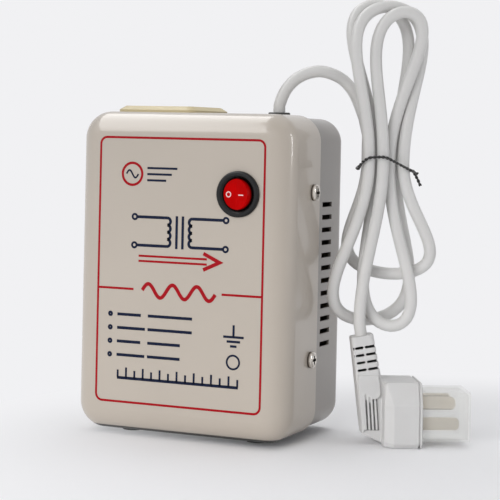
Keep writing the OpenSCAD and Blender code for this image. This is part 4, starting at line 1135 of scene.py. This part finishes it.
@dataclass
class FrontPrint:
    """Plain printed frame and electrical signs on the case front; the signs are generic.

    A stroke is a method of Ink with what it takes: places on the front, sizes and the width of its line.
    """

    depth: float = 0.05
    red: tuple[tuple, ...] = (
        # The frame, and the divider with a wave in its gap
        (Ink.frame, (-46.0, 15.4), (46.0, 150.3), 3.5, 1.15),
        (Ink.line, (-45.425, 73.2), (-25.5, 73.2), 1.15),
        (Ink.line, (24.0, 73.2), (45.425, 73.2), 1.15),
        (Ink.sine, (-20.5, 72.9), 41.0, 3.4, 3, 1.9),
        # The arrow
        *((Ink.line, (-23.0, z), (15.5, z), 1.1) for z in (87.7, 90.3)),
        (Ink.stroke, ((13.5, 84.9), (22.5, 89.0), (13.5, 93.1)), 1.9),
        # The source sign's ring
        (Ink.ring, (-27.5, 131.8), 5.6, 1.3, 40),
    )
    navy: tuple[tuple, ...] = (
        # The source sign's wave, and three bars beside it
        (Ink.sine, (-30.9, 131.8), 6.8, 1.9, 1, 0.9),
        *((Ink.line, (-19.0, 135.0 - drop), (-2.0 - drop, 135.0 - drop), 1.1) for drop in (0.0, 3.1, 6.2)),
        # Two coils with their leads, on either side of a core
        *(
            (Ink.arc, (side * 7.0, 108.3 - 3.6 * loop), 1.8, 90, 90 + side * 180, 1.5, 12)
            for side in (-1, 1) for loop in range(4)
        ),
        *((Ink.line, (side * 7.0, z), (side * 24.0, z), 1.5) for side in (-1, 1) for z in (110.1, 95.7)),
        *((Ink.ring, (side * 25.6, z), 1.3, 1.1, 20) for side in (-1, 1) for z in (110.1, 95.7)),
        *((Ink.line, (x, 94.6), (x, 111.2), 1.4) for x in (-1.7, 1.7)),
        # Four rows of a dot and two bars
        *((Ink.ring, (-38.5, z), 0.8, 1.2, 16) for z in (60.0, 53.1, 46.2, 39.3)),
        *((Ink.line, (-34.5, z), (-21.0, z), 1.5) for z in (60.0, 46.2)),
        *((Ink.line, (-34.5, z), (-18.5, z), 1.5) for z in (53.1, 39.3)),
        *((Ink.line, (-17.0, z), (8.0, z), 1.5) for z in (60.0, 53.1)),
        *((Ink.line, (-17.0, z), (1.5, z), 1.5) for z in (46.2, 39.3)),
        # The earth sign, and a ring below it
        (Ink.line, (31.0, 58.5), (31.0, 52.5), 1.2),
        *(
            (Ink.line, (31.0 - half, z), (31.0 + half, z), 1.2)
            for half, z in ((5.6, 52.5), (3.7, 50.2), (1.8, 47.9))
        ),
        (Ink.ring, (31.0, 40.0), 3.4, 1.0, 32),
        # The scale and its ticks
        (Ink.line, (-34.0, 27.6), (34.0, 27.6), 1.5),
        *(
            (Ink.line, (-33.6 + 4.8 * step, 27.6), (-33.6 + 4.8 * step, 31.6 + 1.4 * (step % 2)), 1.1)
            for step in range(15)
        ),
    )

    def build(self) -> None:
        """Makes the red and the navy print."""
        place = Matrix.Translation((0.0, FRONT_Y, FOOT_H)) @ turned(90.0, "X")
        for name, finish, strokes in (
            ("print_red", Palette.print_red, self.red),
            ("print_navy", Palette.print_navy, self.navy),
        ):
            ink = Ink(self.depth)
            for draw, *values in strokes:
                draw(ink, *values)
            dress(add_piece(name, mesh_of(name, ink.shape, place), Body.CASE), finish)


@dataclass
class RockerMarks:
    """Ring and bar on the two ends of the rocker's face."""

    depth: float = 0.1
    sink: float = 0.025
    ring_place: Pair = (27.21, 123.21)
    bar_place: Pair = (34.51, 123.06)
    ring_r: float = 1.25
    ring_steps: int = 32
    line_w: float = 0.5
    bar_l: float = 3.0
    bar_steps: int = 6
    clear: float = 60.0

    def build(self, rocker: Object) -> None:
        """Draws both marks and lays them on the face.

        Args:
            rocker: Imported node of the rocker.
        """
        ink = Ink(self.depth)
        ink.ring(self.ring_place, self.ring_r, self.line_w, self.ring_steps)
        x, z = self.bar_place
        for step in range(self.bar_steps):
            start = x - self.bar_l / 2 + self.bar_l * step / self.bar_steps
            ink.line((start, z), (start + self.bar_l / self.bar_steps, z), self.line_w)
        self._lay(ink, rocker)
        mesh = mesh_of("rocker_marks", ink.shape, Matrix.Identity(4))
        dress(add_piece("rocker_marks", mesh, Body.ROCKER), Palette.mark_white)

    def _lay(self, ink: Ink, rocker: Object) -> None:
        """Moves the drawing onto the rocker's face, seen from the front.

        Args:
            ink: Drawing with X to the right and Y upwards.
            rocker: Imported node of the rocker.
        """
        solid = bmesh.new()
        solid.from_mesh(rocker.data)
        bmesh.ops.transform(solid, matrix=Matrix.Scale(1 / MM, 4) @ rocker.matrix_world, verts=solid.verts)
        tree = BVHTree.FromBMesh(solid)
        for vertex in ink.shape.verts:
            x, z, raised = vertex.co
            hit, _, _, _ = tree.ray_cast(Vector((x, FRONT_Y - self.clear, z + FOOT_H)), Vector((0, 1, 0)))
            vertex.co = hit - Vector((0, raised - self.sink, 0))
        solid.free()


@dataclass
class AngledPlug:
    """Moulded plug with softly rounded edges, in place of the plain solid.

    Its own frame has the pins' way along X, with the face at 0, and its foot at Z = 0.
    """

    place: Triple = (107.6, FRONT_Y + 59.3, 0.0)
    height: float = 32.5
    width: float = 36.0
    outline: tuple[Pair, ...] = (
        (-0.445, 0), (-0.5, 0.08), (-0.5, 0.65), (-0.365, 1),
        (0.365, 1), (0.5, 0.65), (0.5, 0.08), (0.445, 0),
    )
    # Place along the pins and shares of width and height of each slice; the head's first has its top set back
    head: tuple[Triple, ...] = ((-14.44, 1, 1), (-1.8, 1, 1), (-19.0, 0.84, 0.97))
    neck: tuple[Triple, ...] = ((-3.0, 0.94, 0.94), (-0.4, 0.94, 0.94))
    plate: tuple[Triple, ...] = ((-1.0, 1, 1), (-0.3, 1, 1), (0.0, 0.98, 0.98))
    shoulder_x: float = -18.05
    grip_w: float = 14.6
    slab: tuple[Pair, ...] = (
        (-32.7, 35.0), (-30.1, 17.0), (-28.9, 5.4), (-17.8, 0.6), (-17.8, 30.3), (-19.9, 35.0),
    )
    slab_inset: float = 3.0
    tongue: tuple[Pair, ...] = ((-31.5, 35.0), (-21.1, 35.0))
    tongue_ends: tuple[Pair, ...] = ((-28.5, 30.0), (-22.9, 26.0))
    tongue_r: float = 3.0
    spine: tuple[Pair, ...] = ((-31.7, 33.0), (-29.7, 33.0), (-28.0, 6.5), (-28.8, 6.5))
    ribs: int = 4
    rib_start: float = -27.0
    rib_pitch: float = 1.85
    rib_half: float = 0.5
    rib_top: float = 26.5
    rib_fall: float = 4 / 3
    relief_x: float = -26.3
    relief_z: float = 35.0
    relief_l: float = 19.9
    relief_r: float = 2.2
    relief_foot: float = -2.2
    relief_top: Pair = (11.6, 11.0)
    relief_low: Pair = (12.8, 13.0)
    least_share: float = -0.1
    relief_spine: tuple[Pair, ...] = ((0.0, 2.0), (0.4, 0.8), (1.3, 0.1))
    slot_h: float = 1.15
    slot_depth: float = 5.2
    lip: float = 5.2
    rows: int = 4
    web: float = 0.7
    web_end: float = 0.5
    voxel: float = 0.34
    soft: float = 0.5
    soft_rounds: int = 3
    shape: BMesh = field(default_factory=bmesh.new)

    def build(self) -> Object:
        """Makes the plug's body as one skin.

        Returns:
            The plug.
        """
        self._add_head()
        self._add_grip()
        self._add_relief()
        place = Matrix.Translation(self.place) @ turned(PLUG_TURN, "Z")
        plug = add_piece("plug_shell", mesh_of("plug_shell", self.shape, place), Body.CASE)
        skin = plug.modifiers.new("skin", "REMESH")
        skin.mode = "VOXEL"
        skin.voxel_size = self.voxel * MM
        soft = plug.modifiers.new("soft", "SMOOTH")
        soft.factor = self.soft
        soft.iterations = self.soft_rounds
        apply_modifiers(plug)
        dress(plug, Palette.plug_grey)
        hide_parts("plug_body")
        return plug

    def _slice(self, x: float, wide: float, high: float) -> list[Vector]:
        """Outline of the head at a place along the pins, with shares of its width and of its height."""
        return [
            Vector((x, y * self.width * wide, (0.5 + (z - 0.5) * high) * self.height))
            for y, z in self.outline
        ]

    def _add_head(self) -> None:
        """Adds the head, narrower to its rear, the neck in the groove and the face plate."""
        for rows in (self.head, self.neck, self.plate):
            corners = [corner for row in rows for corner in self._slice(*row)]
            if rows is self.head:
                for corner in corners[:len(self.outline)]:
                    corner.x = self.shoulder_x if corner.z >= self.height else corner.x
            self._add_hull(corners)

    def _add_slab(self, outline: Iterable[Pair], inset: float = 0.0) -> None:
        """Adds a slab with a side outline, as wide as the grip less an inset."""
        half = (self.grip_w - inset) / 2
        self._add_hull([Vector((x, y, z)) for x, z in outline for y in (-half, half)])

    def _add_grip(self) -> None:
        """Adds the grip's slab, the tongue over both its sides, its spine and its upright ribs."""
        self._add_slab(self.slab, self.slab_inset)
        tongue = list(self.tongue)
        for turn in (pi * step / 8 for step in range(8, 17)):
            way = (self.tongue_r * cos(turn), self.tongue_r * sin(turn))
            tongue += [(x + way[0], z + way[1]) for x, z in self.tongue_ends]
        self._add_slab(tongue)
        self._add_slab(self.spine)
        for rib in range(self.ribs):
            x = self.rib_start + self.rib_pitch * rib
            top = self.rib_top - rib * self.rib_fall
            ends = ((x, RIB_LOW), (x - (top - RIB_LOW) * RIB_LEAN, top))
            self._add_slab([(x + side, z) for x, z in ends for side in (-self.rib_half, self.rib_half)])

    def _relief_place(self, x: float, y: float, z: float) -> Vector:
        """Turns a place of the leaning strain relief's frame into the plug's."""
        return turned(-RELIEF_TILT, "Y") @ Vector((x, y, z)) + Vector((self.relief_x, 0, self.relief_z))

    def _relief_size(self, z: float) -> Pair:
        """Thickness and width of the strain relief at a height over its low end."""
        share = max(z / self.relief_l, self.least_share)
        return tuple(low + (top - low) * share for low, top in zip(self.relief_low, self.relief_top))

    def _relief_block(self, low: float, high: float, inset: float, half: float | None = None) -> list[Vector]:
        """Corners of a rounded length of the strain relief.

        Args:
            low: Its lower end.
            high: Its upper end.
            inset: How far its sides stand back.
            half: Half its thickness, where it is only a web.

        Returns:
            The corners, in the plug's frame.
        """
        corners = []
        for z in (low, high):
            thick, wide = self._relief_size(z)
            reach = half if half is not None else thick / 2
            r = min(self.relief_r, reach)
            for turn in (pi * step / 8 for step in range(5)):
                x = reach - r + r * cos(turn)
                y = wide / 2 - inset - r + r * sin(turn)
                corners += [self._relief_place(across, along, z) for across in (-x, x) for along in (-y, y)]
        return corners

    def _add_relief(self) -> None:
        """Adds the strain relief: a core, the lips between its slots, the web across them and its spine."""
        self._add_hull(self._relief_block(self.relief_foot, self.relief_l, self.slot_depth))
        edges = [self.relief_l]
        for row in range(self.rows):
            slot_top = self.relief_l - self.lip - row * SLOT_PITCH
            edges += [slot_top, slot_top - self.slot_h]
        edges.append(self.relief_foot)
        for high, low in zip(edges[::2], edges[1::2]):
            self._add_hull(self._relief_block(low, high, 0.0))
        ends = (0.0, self.relief_l - self.web_end)
        self._add_hull(self._relief_block(*ends, 0.0, self.web / 2))
        spine = []
        for z in ends:
            thick, wide = self._relief_size(z)
            for back, inset in self.relief_spine:
                reach = wide / 2 - inset
                spine += [self._relief_place(back - thick / 2, side * reach, z) for side in (-1, 1)]
        self._add_hull(spine)

    def _add_hull(self, corners: Sequence[Vector]) -> None:
        """Adds the convex skin of some corners.

        Args:
            corners: The corners in millimetres.
        """
        verts = [self.shape.verts.new(corner) for corner in corners]
        made = bmesh.ops.convex_hull(self.shape, input=verts)
        inner = [item for item in made["geom_interior"] if isinstance(item, BMVert)]
        bmesh.ops.delete(self.shape, geom=inner, context="VERTS")


def apply_modifiers(piece: Object) -> None:
    """Turns the modifiers of a piece into plain mesh.

    Args:
        piece: The piece.
    """
    view = bpy.context.evaluated_depsgraph_get()
    mesh = bpy.data.meshes.new_from_object(piece.evaluated_get(view))
    piece.modifiers.clear()
    piece.data = mesh
    for face in mesh.polygons:
        face.use_smooth = True


def dress_nodes() -> None:
    """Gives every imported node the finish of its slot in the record."""
    slots = {row["node"]: row["material_slot"] for row in frame["record"]["subparts"]}
    for name, node in frame["nodes"].items():
        dress(node, getattr(Palette, slots[name]))


def main() -> None:
    """Builds the scene piece by piece."""
    logging.basicConfig(level=logging.INFO, format="%(message)s")
    Studio().build()
    lead = MainsCord()
    dress_nodes()
    cord = lead.build()
    nodes = frame["nodes"]
    tie = TwistTie(lead).build()
    plug = AngledPlug().build()
    FrontPrint().build()
    RockerMarks().build(nodes["switch_rocker"])


if __name__ == "__main__":
    main()
